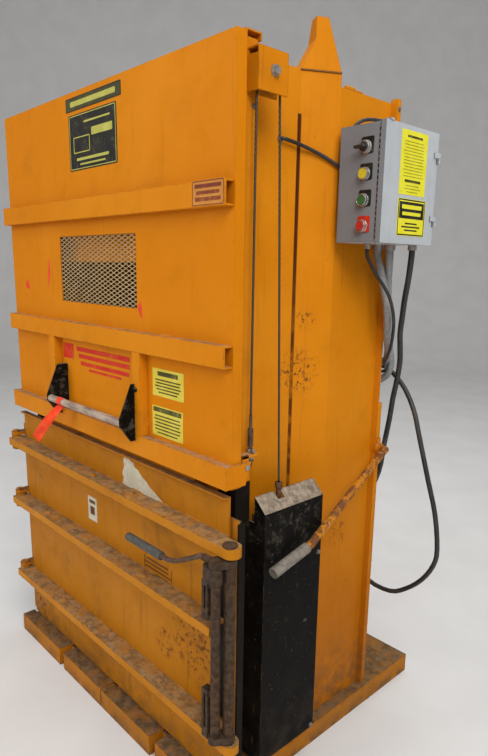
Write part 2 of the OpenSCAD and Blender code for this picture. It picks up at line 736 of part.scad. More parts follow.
// expanded mesh: two families of slanting strands behind the window, in a flat frame
module window_mesh() color(paint) placed() {
    edge = 8;
    w = window_w + 2 * edge;
    h = window_h + 2 * edge;
    bar = 16;
    step = w / mesh_cols;
    slant = atan2(h / mesh_rows, step);
    translate([window_c[0], 0, window_c[1]]) {
        for (side = [0, 1])
            plate_xz(gate_t + side * (mesh_t / 2 + 0.1), mesh_t / 2) intersection() {
                square([w, h], center = true);
                for (i = [-mesh_cols - mesh_rows : 2 : mesh_cols + mesh_rows])
                    translate([i * step / 2, 0]) rotate(side == 0 ? slant : -slant)
                        square([2 * w, strand_w], center = true);
            }
        difference() {
            block([-w / 2 - bar, gate_t, -h / 2 - bar], [w / 2 + bar, gate_t + 4, h / 2 + bar]);
            block([-w / 2, gate_t - 1, -h / 2], [w / 2, gate_t + 5, h / 2]);
        }
    }
}

// headed shoes that hold the gate in its tracks; the upper one stays inside with the gate lifted
shoe_h = 80;
shoe_z = [gate_z0 + 30, skin_top - gate_lift - shoe_h - 19];
module gate_shoes() color(bare_steel) placed() both() for (z = shoe_z) {
    block([track_mid - shoe_stem, gate_t, z], [track_mid + shoe_stem, slot_y[0] + track_t + 8, z + shoe_h]);
    block([skin_x + track_t + 3, slot_y[0] + track_t + 2, z],
        [track_x - track_t - 3, slot_y[1] - track_t - 5, z + shoe_h]);
}

// bracket, threaded eye and nuts that take each lifting cable
module cable_anchors() color(black_paint) placed() both() {
    inner = gate_x + 4;
    low = channel_3[0] + 14;
    top = channel_3[1] + 69;
    block([inner - 6, gate_fold + 2, low], [inner, sheave_front + 15, top]);
    block([cable_x - 14, sheave_front - 15, top - 12], [inner, sheave_front + 15, top]);
    rod_z(top - 38, top + 14, cable_x, sheave_front, 5);
    for (z = [top - 22, top]) translate([cable_x, sheave_front, z]) cylinder(h = 9, r = 9, $fn = 6);
    rod_z(top + 14, anchor_z, cable_x, sheave_front, 7);
    translate([inner + channel_t, 38, channel_3[1] - 14]) hex_x(8);
}

handle_x = 229;
module handle_brackets() color(black_paint) placed() {
    both() plate_yz(handle_x, handle_t) polygon([[-channel_d, 1212], [-channel_d - 10, 1212],
        [-handle_reach - 12, handle_z + 14], [-handle_reach - 12, handle_z - 8],
        [-channel_d - 16, channel_3[1] - 18], [-channel_d, channel_3[1] - 18]]);
    // foot of the left bracket, which has no rib behind it
    block([-handle_x - handle_t - 14, -channel_d, 1176], [-handle_x, 0, 1212]);
    for (s = [-1, 1]) translate([s * (handle_x + handle_t + 7), -channel_d, 1196]) hex_y(7);
}
module handle_bar() color(bare_steel) placed()
    rod_x(-handle_x, handle_x, -handle_reach, handle_z, handle_r);

// strip of cloth tied round the lifting bar
module handle_ribbon() color("#E04A20") placed() {
    difference() {
        rod_x(-206, -190, -handle_reach, handle_z, handle_r + 2.3);
        rod_x(-207, -189, -handle_reach, handle_z, handle_r + rest_gap);
    }
    translate([-198, -handle_reach - handle_r - 2.2, handle_z]) rotate([-6, 29, 0])
        block([-9, -1.6, -140], [9, 0, 0]);
}

module gate_cables() color(bare_steel) placed() both()
    rod_z(anchor_z, sheave_z, cable_x, sheave_front, cable_r);

// lift gear

module cable_wraps() color(bare_steel) placed() both() translate([cable_x, sheave_y, sheave_z])
    rotate([0, 90, 0]) rotate([0, 0, 90]) rotate_extrude(angle = 180)
        translate([sheave_r, 0]) circle(r = cable_r);

module sheave(side) color(rusty) placed() translate([side * cable_x, sheave_y, sheave_z])
    rotate([0, 90, 0]) rotate_extrude() {
        groove = sheave_r - cable_r - rest_gap;
        polygon([[axle_r + fit, -sheave_half], [axle_r + 8, -sheave_half], [axle_r + 8, -6],
            [sheave_r - 9, -6], [sheave_r + 4, -sheave_half + 2], [sheave_r + 4, -cable_r - 2.5],
            [groove, -2.2], [groove, 2.2], [sheave_r + 4, cable_r + 2.5], [sheave_r + 4, sheave_half - 2],
            [sheave_r - 9, 6], [axle_r + 8, 6], [axle_r + 8, sheave_half], [axle_r + fit, sheave_half]]);
    }
module sheave_right() sheave(1);
module sheave_left() sheave(-1);

module counterweights() color(rusty) placed() both() {
    block([cable_x - weight_t / 2, weight_y - weight_w / 2, weight_top - weight_h],
        [cable_x + weight_t / 2, weight_y + weight_w / 2, weight_top]);
    rod_z(weight_top, eye_z - 14, cable_x, weight_y, 8);
    rod_z(eye_z - 14, eye_z, cable_x, weight_y, 11);
}

module weight_cables() color(bare_steel) placed() both()
    bar_between([cable_x, weight_y, eye_z + rest_gap], [cable_x, sheave_back, sheave_z - rest_gap], cable_r);

// door

module door_plate() color(paint) placed() {
    block([-gate_x, door_y, base_h + door_gap], [door_x, door_y + door_t, door_top]);
    block([-gate_x, door_y - 14, door_top - 6], [door_x, door_y + EPS, door_top]);
}

module door_bars() color(paint) placed() {
    front = door_y - bar_d;
    for (i = [0 : len(bar_z) - 1]) {
        z = bar_z[i];
        x1 = min(bar_x1[i], door_x);
        difference() {
            union() {
                block([-hinge_x, front, z - bar_t], [x1, door_y, z]);
                block([-hinge_x, front, z - bar_h], [x1, front + bar_t, z]);
                rod_z(z - bar_h - knuckle_up, z + knuckle_up, hinge_at[0], hinge_at[1], knuckle_r);
            }
            rod_z(z - bar_h - knuckle_up - 1, z + knuckle_up + 1, hinge_at[0], hinge_at[1], pin_r + fit);
        }
        // boss of the upper and lower bar, in which the latch shaft turns
        if (i != 1) difference() {
            union() {
                block([x1 - EPS, front, z - bar_h], [latch_x, door_y - 8, z]);
                rod_z(z - bar_h, z, latch_x, (front + door_y - 8) / 2, (bar_d - 8) / 2);
            }
            rod_z(z - bar_h - 1, z + 1, latch_x, -latch_y, latch_r + fit);
        }
    }
}

// latch

lever_z = arm_z1 - hub_h - 2;
eye_x = pipe_pos[0] - 44;
socket_x = pipe_pos[0] - 50;
socket_z = arm_z1 + arm_t / 2;
module latch_crank() color(rusty) placed() {
    top = bar_z[0] + 5;
    low = bar_z[2] - bar_h - 6;
    rod_z(low, top, latch_x, -latch_y, latch_r);
    rod_z(bar_z[0] + 0.5, top, latch_x, -latch_y, latch_r + 5);
    rod_z(low, bar_z[2] - bar_h - 0.5, latch_x, -latch_y, latch_r + 5);
    for (z = [arm_z0, arm_z1]) plate_xy(z, arm_t) link_2d(latch_at, pipe_pos, latch_r + 4);
    rod_z(arm_z0, arm_z1 + arm_t, pipe_pos[0], pipe_pos[1], pipe_r);
    // slotted eyes beside the pipe, above and below
    for (z = [[lever_z - 110, lever_z], [arm_z0, arm_z0 + 150]]) {
        difference() {
            block([eye_x, pipe_pos[1] - 11, z[0]], [eye_x + 24, pipe_pos[1] + 11, z[1]]);
            block([eye_x + 8, pipe_pos[1] - 12, z[0] + 30], [eye_x + 16, pipe_pos[1] + 12, z[1] - 14]);
        }
        for (low = [z[0], z[1] - 16])
            block([eye_x + 20, pipe_pos[1] - 8, low], [pipe_pos[0], pipe_pos[1] + 8, low + 14]);
    }
    plate_xy(lever_z, hub_h) link_2d(pipe_pos, pipe_pos - [24, 0], pipe_r + 5);
    // socket of the lever
    rod_x(socket_x, pipe_pos[0] - pipe_r, pipe_pos[1], socket_z, lever_r + 3);
}

lever_path = [[socket_x, pipe_pos[1], socket_z], [socket_x - 10, pipe_pos[1], socket_z], [563, -70, 800],
    [500, -72, 768], [462, -72, 755], [436, -72, 752], [423, -72, 752]];
module latch_lever() color(black_paint) placed() tube(smooth(lever_path, 4), lever_r, 12);
module latch_grip() color(grip_grey) placed() {
    end = lever_path[len(lever_path) - 1];
    rod_x(end[0] - grip_len, end[0], end[1], end[2], 12.5);
    rod_x(end[0] - grip_len - 5, end[0] - grip_len, end[1], end[2], 10);
}

// press

module platen() color(paint_dark) placed() {
    x = chamber_x - platen_gap;
    y0 = front_y + skin_t + platen_gap;
    y1 = rear_y - platen_gap;
    block([-x, y0, platen_z], [x, y1, platen_z + 12]);
    // skirt and cross ribs
    for (y = [y0, y1 - 8]) block([-x, y, platen_z], [x, y + 8, platen_z + 90]);
    for (i = [-2 : 2])
        block([i * (x - 4) / 2 - 4, y0, platen_z], [i * (x - 4) / 2 + 4, y1, platen_z + 90]);
    // two posts carry the yoke beam, which reaches out into the side housings
    for (s = [-1, 1])
        block([s * 222 - 35, ram_y - yoke_d / 2, platen_z], [s * 222 + 35, ram_y + yoke_d / 2, yoke_bottom]);
    reach = ram_x + rod_r + 2;
    difference() {
        block([-reach, ram_y - yoke_d / 2, yoke_bottom], [reach, ram_y + yoke_d / 2, yoke_top]);
        block([-reach - 1, ram_y - yoke_d / 2 + 8, yoke_bottom + 8],
            [reach + 1, ram_y + yoke_d / 2 - 8, yoke_top - 8]);
    }
}

module ram_rods() color(bare_steel) placed() both() {
    rod_z(barrel_top - 80, yoke_bottom, ram_x, ram_y, rod_r);
    translate([ram_x, ram_y, yoke_top]) cylinder(h = 16, r = rod_r + 4, $fn = 6);
    rod_z(yoke_top + 16, yoke_top + 60, ram_x, ram_y, rod_r - 6);
}

// control box

module control_box() color(box_grey) placed() {
    difference() {
        block(box_at, box_at + box_size - [box_t, 0, 0]);
        block(box_at + [box_t, box_t, box_t], box_at + box_size + [1, -box_t, -box_t]);
        for (z = operator_z) rod_y(panel_y - 1, panel_y + box_t + 1, operator_x, z, 6);
    }
    // lip round the door opening
    difference() {
        block([box_x1 - box_t - 10, panel_y, box_at[2]], [box_x1 - box_t, box_y1, box_z1]);
        block([box_x1 - box_t - 11, panel_y + 10, box_at[2] + 10], [box_x1, box_y1 - 10, box_z1 - 10]);
    }
    // spacers to the column
    for (y = [panel_y + 40, box_y1 - 40], z = [box_at[2] + 40, box_z1 - 40])
        rod_x(column_x, box_at[0], y, z, 9);
    // eyes of the door hinge
    for (z = [box_at[2] + 50, box_z1 - 80]) rod_z(z, z + 14, box_x1 + 4, box_y1 + 5, 4);
    block([box_x1 - 30, box_y1, box_at[2] + 50], [box_x1 + 4, box_y1 + 4, box_at[2] + 64]);
    block([box_x1 - 30, box_y1, box_z1 - 80], [box_x1 + 4, box_y1 + 4, box_z1 - 66]);
}

module box_door() color(box_grey) placed() {
    lip = 14;
    difference() {
        block([box_x1 - lip, panel_y - 2.5, box_at[2] - 2.5], [box_x1 + box_t, box_y1 + 2.5, box_z1 + 2.5]);
        block([box_x1 - lip - 1, panel_y - 0.5, box_at[2] - 0.5],
            [box_x1 + EPS * 20, box_y1 + 0.5, box_z1 + 0.5]);
        block([box_x1 - lip - 1, box_y1, box_at[2] - 3], [box_x1 - 0.5, box_y1 + 3, box_z1 + 3]);
        for (z = [box_at[2] + 50, box_z1 - 80])
            block([box_x1 - lip - 1, box_y1 - 6, z - 1], [box_x1 + box_t + 1, box_y1 + 9, z + 15]);
    }
    for (z = [box_at[2] + 66, box_z1 - 64]) {
        rod_z(z, z + 14, box_x1 + 4, box_y1 + 5, 4);
        block([box_x1 + box_t, box_y1 - 20, z], [box_x1 + 6, box_y1 + 5, z + 14]);
    }
    // clamp that holds the door shut
    block([box_x1 - 10, panel_y + 12, box_z1 + 2.5], [box_x1 + 5, panel_y + 28, box_z1 + 7]);
}

// contactor, transformer, relay and terminals on a back plate
module control_gear() color("#3A3A3A") placed() {
    x = box_at[0] + box_t;
    y = box_at[1] + 52;
    z = box_at[2] + 24;
    block([x, y - 12, z - 8], [x + 3, y + 176, z + 264]);
    block([x + 3, y + 8, z + 150], [x + 78, y + 78, z + 236]);
    block([x + 3, y + 96, z + 150], [x + 64, y + 156, z + 226]);
    block([x + 3, y + 8, z + 66], [x + 62, y + 62, z + 130]);
    for (k = [0 : 3]) rod_y(y + 10, y + 64, x + 78, z + 160 + k * 21, 4);
    for (k = [0 : 9]) block([x + 3, y + 8 + k * 15, z + 12], [x + 34, y + 21 + k * 15, z + 44]);
    // contact blocks behind the operators, on a rail
    for (h = operator_z)
        block([operator_x - 16, panel_y + 20, h - 18], [operator_x + 16, panel_y + 44, h + 18]);
    block([x, panel_y + 44, operator_z[3] - 18], [operator_x + 16, panel_y + 47, operator_z[0] + 18]);
}

// ring round each operator
module operator_bezels() color(bare_steel) placed() for (z = operator_z) difference() {
    rod_y(panel_y - 8, panel_y, operator_x, z, button_r + 4);
    rod_y(panel_y - 9, panel_y + 1, operator_x, z, button_r + fit);
}
module button(z, r, reach) placed() {
    rod_y(panel_y - reach, panel_y - button_travel - 0.5, operator_x, z, r);
    rod_y(panel_y - button_travel - 0.6, panel_y + 14, operator_x, z, 5);
}
module selector_knob() color("#222222") placed() {
    z = operator_z[0];
    rod_y(panel_y - 14, panel_y - 0.5, operator_x, z, button_r);
    rod_y(panel_y - 1, panel_y + 14, operator_x, z, 5);
    block([operator_x - 4, panel_y - 26, z - button_r], [operator_x + 4, panel_y - 13, z + button_r]);
}
module yellow_button() color("#E8C020") button(operator_z[1], button_r, 13);
module green_button() color("#2E8B3C") button(operator_z[2], button_r, 13);
module red_button() color("#C02020") {
    button(operator_z[3], button_r, 13);
    placed() rod_y(panel_y - 21, panel_y - 13, operator_x, operator_z[3], button_r + 4);
}

// cable entries of the control box, of the junction box on the rear wall and of the motor
junction_at = [400, rear_y + wall_t, 1150];
junction_size = [120, 96, 130];
junction_x = junction_at[0] + junction_size[0];
entry_h = 16;
entry_len = 12;
box_entry = [[622, 592], [658, 602], [664, 480], [712, 636]];
box_entry_r = [16, 16, 9, 13];
// entries of the junction box, behind the gate face and above the ground
junction_entry = [[714, 1245], [748, 1180], [731, 1213], [776, 1226]];
junction_entry_r = [16, 16, 8, 11];
motor_entry_y = [unit_y - 18, unit_y + 18];
motor_entry_x = motor_x0 + 190;
motor_entry_z = motor_z + motor_r + 16;
switch_at = [skin_x, 252, 1884];
lead_x = 597;
lead_end = [478, 1820];
riser_at = [column_x, 459, 1836];
top_entry = [628, 610];
module conduit_fittings() color(bare_steel) placed() {
    for (i = [0 : 3]) rod_z(box_at[2] - entry_h, box_at[2], box_entry[i][0], box_entry[i][1], box_entry_r[i]);
    block(junction_at, junction_at + junction_size);
    for (i = [0 : 3])
        rod_x(junction_x, junction_x + entry_len, junction_entry[i][0], junction_entry[i][1],
            junction_entry_r[i]);
    for (y = motor_entry_y) rod_x(motor_entry_x, motor_entry_x + entry_len, y, motor_entry_z, 13);
    // entries of the short leads: in the skin, in the wall of the box, in the column and on the box
    rod_x(switch_at[0], switch_at[0] + 4, switch_at[1], switch_at[2], 9);
    rod_y(lead_end[0], lead_end[0] + 14, lead_x, lead_end[1], 6.5);
    block([lead_x, lead_end[0] + 4, lead_end[1] - 6], [box_at[0], lead_end[0] + 14, lead_end[1] + 6]);
    block(riser_at, riser_at + [14, 14, 12]);
    rod_z(box_z1, box_z1 + 8, top_entry[0], top_entry[1], 9);
}

module frame_bolts() color(bare_steel) placed() both() {
    for (z = [guard_z0 + 10, guard_z0 + 611]) translate([guard_x, guard_y1 - 12, z]) hex_x(7);
    translate([572, guard_y0, 484]) hex_y(7);
    for (p = [[50, 1996], [86, 1924]]) translate([track_x, p[0], p[1]]) hex_x(6);
    translate([flange_x, rear_y - 10, 2017]) hex_x(6);
}

// side lever that frees the bale

side_pivot_y = flange_y + 10;
side_path = [[elbow_x, side_pivot_y, side_z], [side_x, side_bend[0], side_bend[1]]];
side_grip_end = [side_x, side_end[0], side_end[1]];
module lever_bearing() color(paint) placed() difference() {
    union() {
        rod_x(flange_x, elbow_x - side_r - 4, side_pivot_y, side_z, side_r + 6);
        block([flange_x, flange_y + 2, side_z - 34], [flange_x + 5, rear_y, side_z + 34]);
    }
    rod_x(flange_x - 1, elbow_x, side_pivot_y, side_z, side_r + fit);
}
module side_lever() color(paint_dark) placed() {
    rod_route([[flange_x + rest_gap, side_pivot_y, side_z], side_path[0], side_path[1],
        side_path[1] + 0.12 * (side_grip_end - side_path[1])], side_r);
}
module side_grip() color(grip_grey) placed()
    bar_between(side_path[1] + 0.12 * (side_grip_end - side_path[1]), side_grip_end, side_r + 4);

// cables and conduits, along routes chosen by hand

conduit_a = [[622, 592, 1605.7], [622, 592, 1590], [634, 590, 1558], [650, 592, 1503], [657, 600, 1459],
    [658, 611, 1413], [644, 635, 1371], [634, 654, 1335], [622, 682, 1296], [600, 708, 1262],
    [570, 716, 1247], [548, 714, 1245], [532.3, 714, 1245]];
conduit_b = [[658, 602, 1605.7], [658, 602, 1590], [651, 613, 1558], [641, 628, 1520], [636, 640, 1469],
    [632, 655, 1410], [620, 685, 1350], [606, 712, 1300], [598, 738, 1250], [580, 750, 1205],
    [548, 748, 1180], [532.3, 748, 1180]];
conduit_r = 12;
control_route = [[664, 480, 1605.7], [664, 480, 1592], [667, 492, 1570], [677, 520, 1529], [687, 545, 1498],
    [692, 570, 1463], [686, 600, 1419], [676, 622, 1376], [660, 640, 1322], [636, 660, 1280],
    [616, 673, 1252], [609, 698, 1238], [596, 720, 1226], [570, 731, 1215], [545, 731, 1213],
    [532.3, 731, 1213]];
switch_route = [[532.3, 252, 1884], [541, 252, 1884], [543, 317, 1877], [567, 384, 1854], [590, 425, 1830],
    [595, 445, 1822], [597, 462, 1820], [597, 477.7, 1820]];
top_route = [[591, 466, 1848.3], [591, 466, 1866], [594, 474, 1925], [602, 500, 1955], [612, 545, 1966],
    [626, 592, 1962], [628, 610, 1946], [628, 610, 1932.3]];
motor_route = [[712, 636, 1605.7], [712, 636, 1590], [698, 650, 1522], [675, 674, 1462], [650, 706, 1400],
    [635, 724, 1349], [630, 738, 1300], [627, 747, 1250], [617, 753, 1190], [603, 757, 1120],
    [595, 758, 1051], [579, 760, 955], [558, 770, 850], [500, 784, 740], [400, 798, 660],
    [300, 804, 622], [200, 804, 612], [160, 804, 612], [142.3, 804, 612]];
loop_route = [[532.3, 776, 1226], [550, 776, 1226], [575, 778, 1212], [604, 778, 1190], [640, 770, 1160],
    [674, 760, 1118], [697, 754, 1076], [715, 752, 1022], [763, 750, 876], [798, 750, 767],
    [816, 750, 651], [807, 750, 590], [770, 750, 524], [712, 750, 466], [649, 750, 431],
    [549, 760, 430], [440, 800, 470], [320, 828, 560], [230, 840, 606], [160, 840, 612], [142.3, 840, 612]];
module conduits() color("#8C8E8C") placed() {
    tube(smooth(conduit_a, 3), conduit_r, 10);
    tube(smooth(conduit_b, 3), conduit_r, 10);
}
module control_cable() color("#1C1C1C") placed() tube(smooth(control_route, 3), 5, 8);
module switch_cable() color("#1C1C1C") placed() tube(smooth(switch_route, 5), 5, 8);
module top_cable() color("#1C1C1C") placed() tube(smooth(top_route, 4), 5, 8);
module motor_cable() color("#1C1C1C") placed() tube(smooth(motor_route, 3), 9, 8);
module loop_cable() color("#1C1C1C") placed() tube(smooth(loop_route, 3), 8, 8);

base_rails();
deck_plate();
sill_bars();
chamber_walls();
side_housings();
corner_horns();
rear_wall();
roof_plate();
header_beam();
front_panel();
gate_tracks();
door_frame();
pins();
sheave_boxes();
weight_guards();
ram_barrels();
control_box();
control_gear();
operator_bezels();
conduit_fittings();
oil_tank();
pump_motor();
valve_and_pipes();
frame_bolts();
lever_bearing();
cable_wraps();
conduits();
motor_cable();
loop_cable();
switch_cable();
top_cable();
control_cable();
gate_sheet();
gate_channels();
gate_ribs();
window_mesh();
gate_shoes();
cable_anchors();
handle_brackets();
handle_bar();
handle_ribbon();
gate_cables();
counterweights();
weight_cables();
sheave_right();
sheave_left();
door_plate();
door_bars();
latch_crank();
latch_lever();
latch_grip();
platen();
ram_rods();
selector_knob();
yellow_button();
green_button();
red_button();
box_door();
side_lever();
side_grip();
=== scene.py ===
import bpy
import bmesh
import math
import random
from mathutils import Matrix, Vector


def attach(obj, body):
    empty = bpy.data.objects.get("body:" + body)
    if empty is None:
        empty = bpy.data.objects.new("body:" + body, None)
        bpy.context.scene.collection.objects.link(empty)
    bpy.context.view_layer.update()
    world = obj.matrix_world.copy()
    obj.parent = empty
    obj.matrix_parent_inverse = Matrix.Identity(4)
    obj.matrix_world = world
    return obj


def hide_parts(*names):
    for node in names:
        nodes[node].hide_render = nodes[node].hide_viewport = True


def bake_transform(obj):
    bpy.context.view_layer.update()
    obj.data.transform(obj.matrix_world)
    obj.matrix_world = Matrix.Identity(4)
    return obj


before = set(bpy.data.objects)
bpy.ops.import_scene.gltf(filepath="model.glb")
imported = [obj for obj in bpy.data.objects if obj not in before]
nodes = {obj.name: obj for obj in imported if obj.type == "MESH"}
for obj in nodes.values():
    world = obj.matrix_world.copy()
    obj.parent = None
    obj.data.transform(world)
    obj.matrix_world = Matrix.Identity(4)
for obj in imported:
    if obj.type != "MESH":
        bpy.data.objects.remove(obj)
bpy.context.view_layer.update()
rng = random.Random(11)

# The CAD source measures y back from the gate face, in millimetres.
FACE_Y = -448.0


def at(x, y, z):
    """A point of the CAD source in the frame, in metres."""
    return Vector((x / 1000.0, (y + FACE_Y) / 1000.0, z / 1000.0))


def new_object(name, data):
    obj = bpy.data.objects.new(name, data)
    bpy.context.scene.collection.objects.link(obj)
    return obj


# ------------------------ camera
# Solved from the edges in the photograph: lengths in its pixels, angles in degrees, eye in CAD millimetres.
IMAGE_W, IMAGE_H = 488, 756
FOCAL = 609.092
YAW, PITCH, ROLL = 46.88172, -12.38004, 0.89466
CENTRE_X, CENTRE_Y = 243.718, 400.244
EYE = (1730.26, -988.97, 1552.07)
SENSOR = 36


def make_camera():
    yaw, pitch, roll = (math.radians(v) for v in (YAW, PITCH, ROLL))
    forward = Vector((-math.sin(yaw) * math.cos(pitch), math.cos(yaw) * math.cos(pitch), math.sin(pitch)))
    right = Vector((math.cos(yaw), math.sin(yaw), 0))
    up = right.cross(forward)
    rolled_right = math.cos(roll) * right + math.sin(roll) * up
    rolled_up = -math.sin(roll) * right + math.cos(roll) * up
    data = bpy.data.cameras.new("camera")
    cam = new_object("camera", data)
    m = Matrix((rolled_right, rolled_up, -forward)).transposed().to_4x4()
    m.translation = at(*EYE)
    cam.matrix_world = m
    data.sensor_width = SENSOR
    data.lens = FOCAL / IMAGE_H * SENSOR
    data.shift_x = (IMAGE_W / 2 - CENTRE_X) / IMAGE_H
    data.shift_y = (CENTRE_Y - IMAGE_H / 2) / IMAGE_H
    data.clip_end = 60
    bpy.context.scene.camera = cam


make_camera()


# ------------------------ node helpers
class Nodes:
    """Short names for building one procedural material."""

    def __init__(self, name):
        self.mat = bpy.data.materials.new(name)
        self.mat.use_nodes = True
        self.tree = self.mat.node_tree
        self.tree.nodes.clear()
        out = self.add("ShaderNodeOutputMaterial")
        self.bsdf = self.add("ShaderNodeBsdfPrincipled")
        self.tree.links.new(self.bsdf.outputs[0], out.inputs[0])
        self.co = self.add("ShaderNodeTexCoord").outputs["Object"]
        self.geo = self.add("ShaderNodeNewGeometry")

    def add(self, kind, sockets=None, **props):
        """A node with its settings, and values or links for its sockets."""
        node = self.tree.nodes.new(kind)
        for k, v in props.items():
            setattr(node, k, v)
        for k, v in (sockets or {}).items():
            self.put(v, node.inputs[k])
        return node

    def put(self, value, socket):
        if isinstance(value, bpy.types.NodeSocket):
            self.tree.links.new(value, socket)
        elif isinstance(value, (tuple, list)) and len(value) == 3 and len(socket.default_value) == 4:
            socket.default_value = (*value, 1)
        else:
            socket.default_value = value

    def scaled(self, sx, sy, sz, vec=None):
        return self.add("ShaderNodeMapping", {"Vector": vec or self.co, "Scale": (sx, sy, sz)}).outputs[0]

    def noise(self, scale, detail, rough, vec=None, dist=0.0):
        return self.add("ShaderNodeTexNoise", {"Vector": vec or self.co, "Scale": scale, "Detail": detail,
                                               "Roughness": rough, "Distortion": dist}).outputs[0]

    def bands(self, direction, scale, vec=None, dist=0.0):
        """Even bands along one axis."""
        return self.add("ShaderNodeTexWave", {"Vector": vec or self.co, "Scale": scale, "Distortion": dist},
                        wave_type="BANDS", bands_direction=direction).outputs["Fac"]

    def ramp(self, value, lo, hi, a=0.0, b=1.0):
        """a up to lo, b from hi on, and a smooth rise or fall between."""
        return self.add("ShaderNodeMapRange", {"Value": value, "From Min": lo, "From Max": hi, "To Min": a,
                                               "To Max": b}, interpolation_type="SMOOTHSTEP").outputs[0]

    def math(self, op, a, b=0.0):
        """One sum; ADD and SUBTRACT stay between 0 and 1, SUBTRACT_FREE may go below."""
        return self.add("ShaderNodeMath", {0: a, 1: b}, operation=op.split("_")[0],
                        use_clamp=op in ("ADD", "SUBTRACT")).outputs[0]

    def times(self, a, b):
        return self.math("MULTIPLY", a, b)

    def vector(self, op, a, b, out=0):
        return self.add("ShaderNodeVectorMath", {0: a, 1: b}, operation=op).outputs[out]

    def mix(self, fac, a, b):
        return self.add("ShaderNodeMix", {0: fac, 6: a, 7: b}, data_type="RGBA").outputs[2]

    def axis(self, k):
        return self.add("ShaderNodeSeparateXYZ", {0: self.co}).outputs[k]

    def facing(self, k):
        return self.add("ShaderNodeSeparateXYZ", {0: self.geo.outputs["Normal"]}).outputs[k]

    def bevel(self, radius, samples=3):
        return self.add("ShaderNodeBevel", {"Radius": radius}, samples=samples).outputs[0]

    def edges(self, rim):
        """1 at the edges of a solid, where the bevelled normal leaves the true one."""
        return self.ramp(self.vector("DOT_PRODUCT", rim, self.geo.outputs["Normal"], "Value"), 0.985, 0.90)

    def bump(self, height, strength, distance, under=None):
        sockets = {"Strength": strength, "Distance": distance, "Height": height}
        if under is not None:
            sockets["Normal"] = under
        return self.add("ShaderNodeBump", sockets).outputs[0]

    def finish(self, color, rough, normal=None, metallic=None, **fixed):
        self.put(color, self.bsdf.inputs["Base Color"])
        self.put(rough, self.bsdf.inputs["Roughness"])
        if normal is not None:
            self.put(normal, self.bsdf.inputs["Normal"])
        if metallic is not None:
            self.put(metallic, self.bsdf.inputs["Metallic"])
        for k, v in fixed.items():
            self.bsdf.inputs[k.replace("_", " ")].default_value = v
        return self.mat


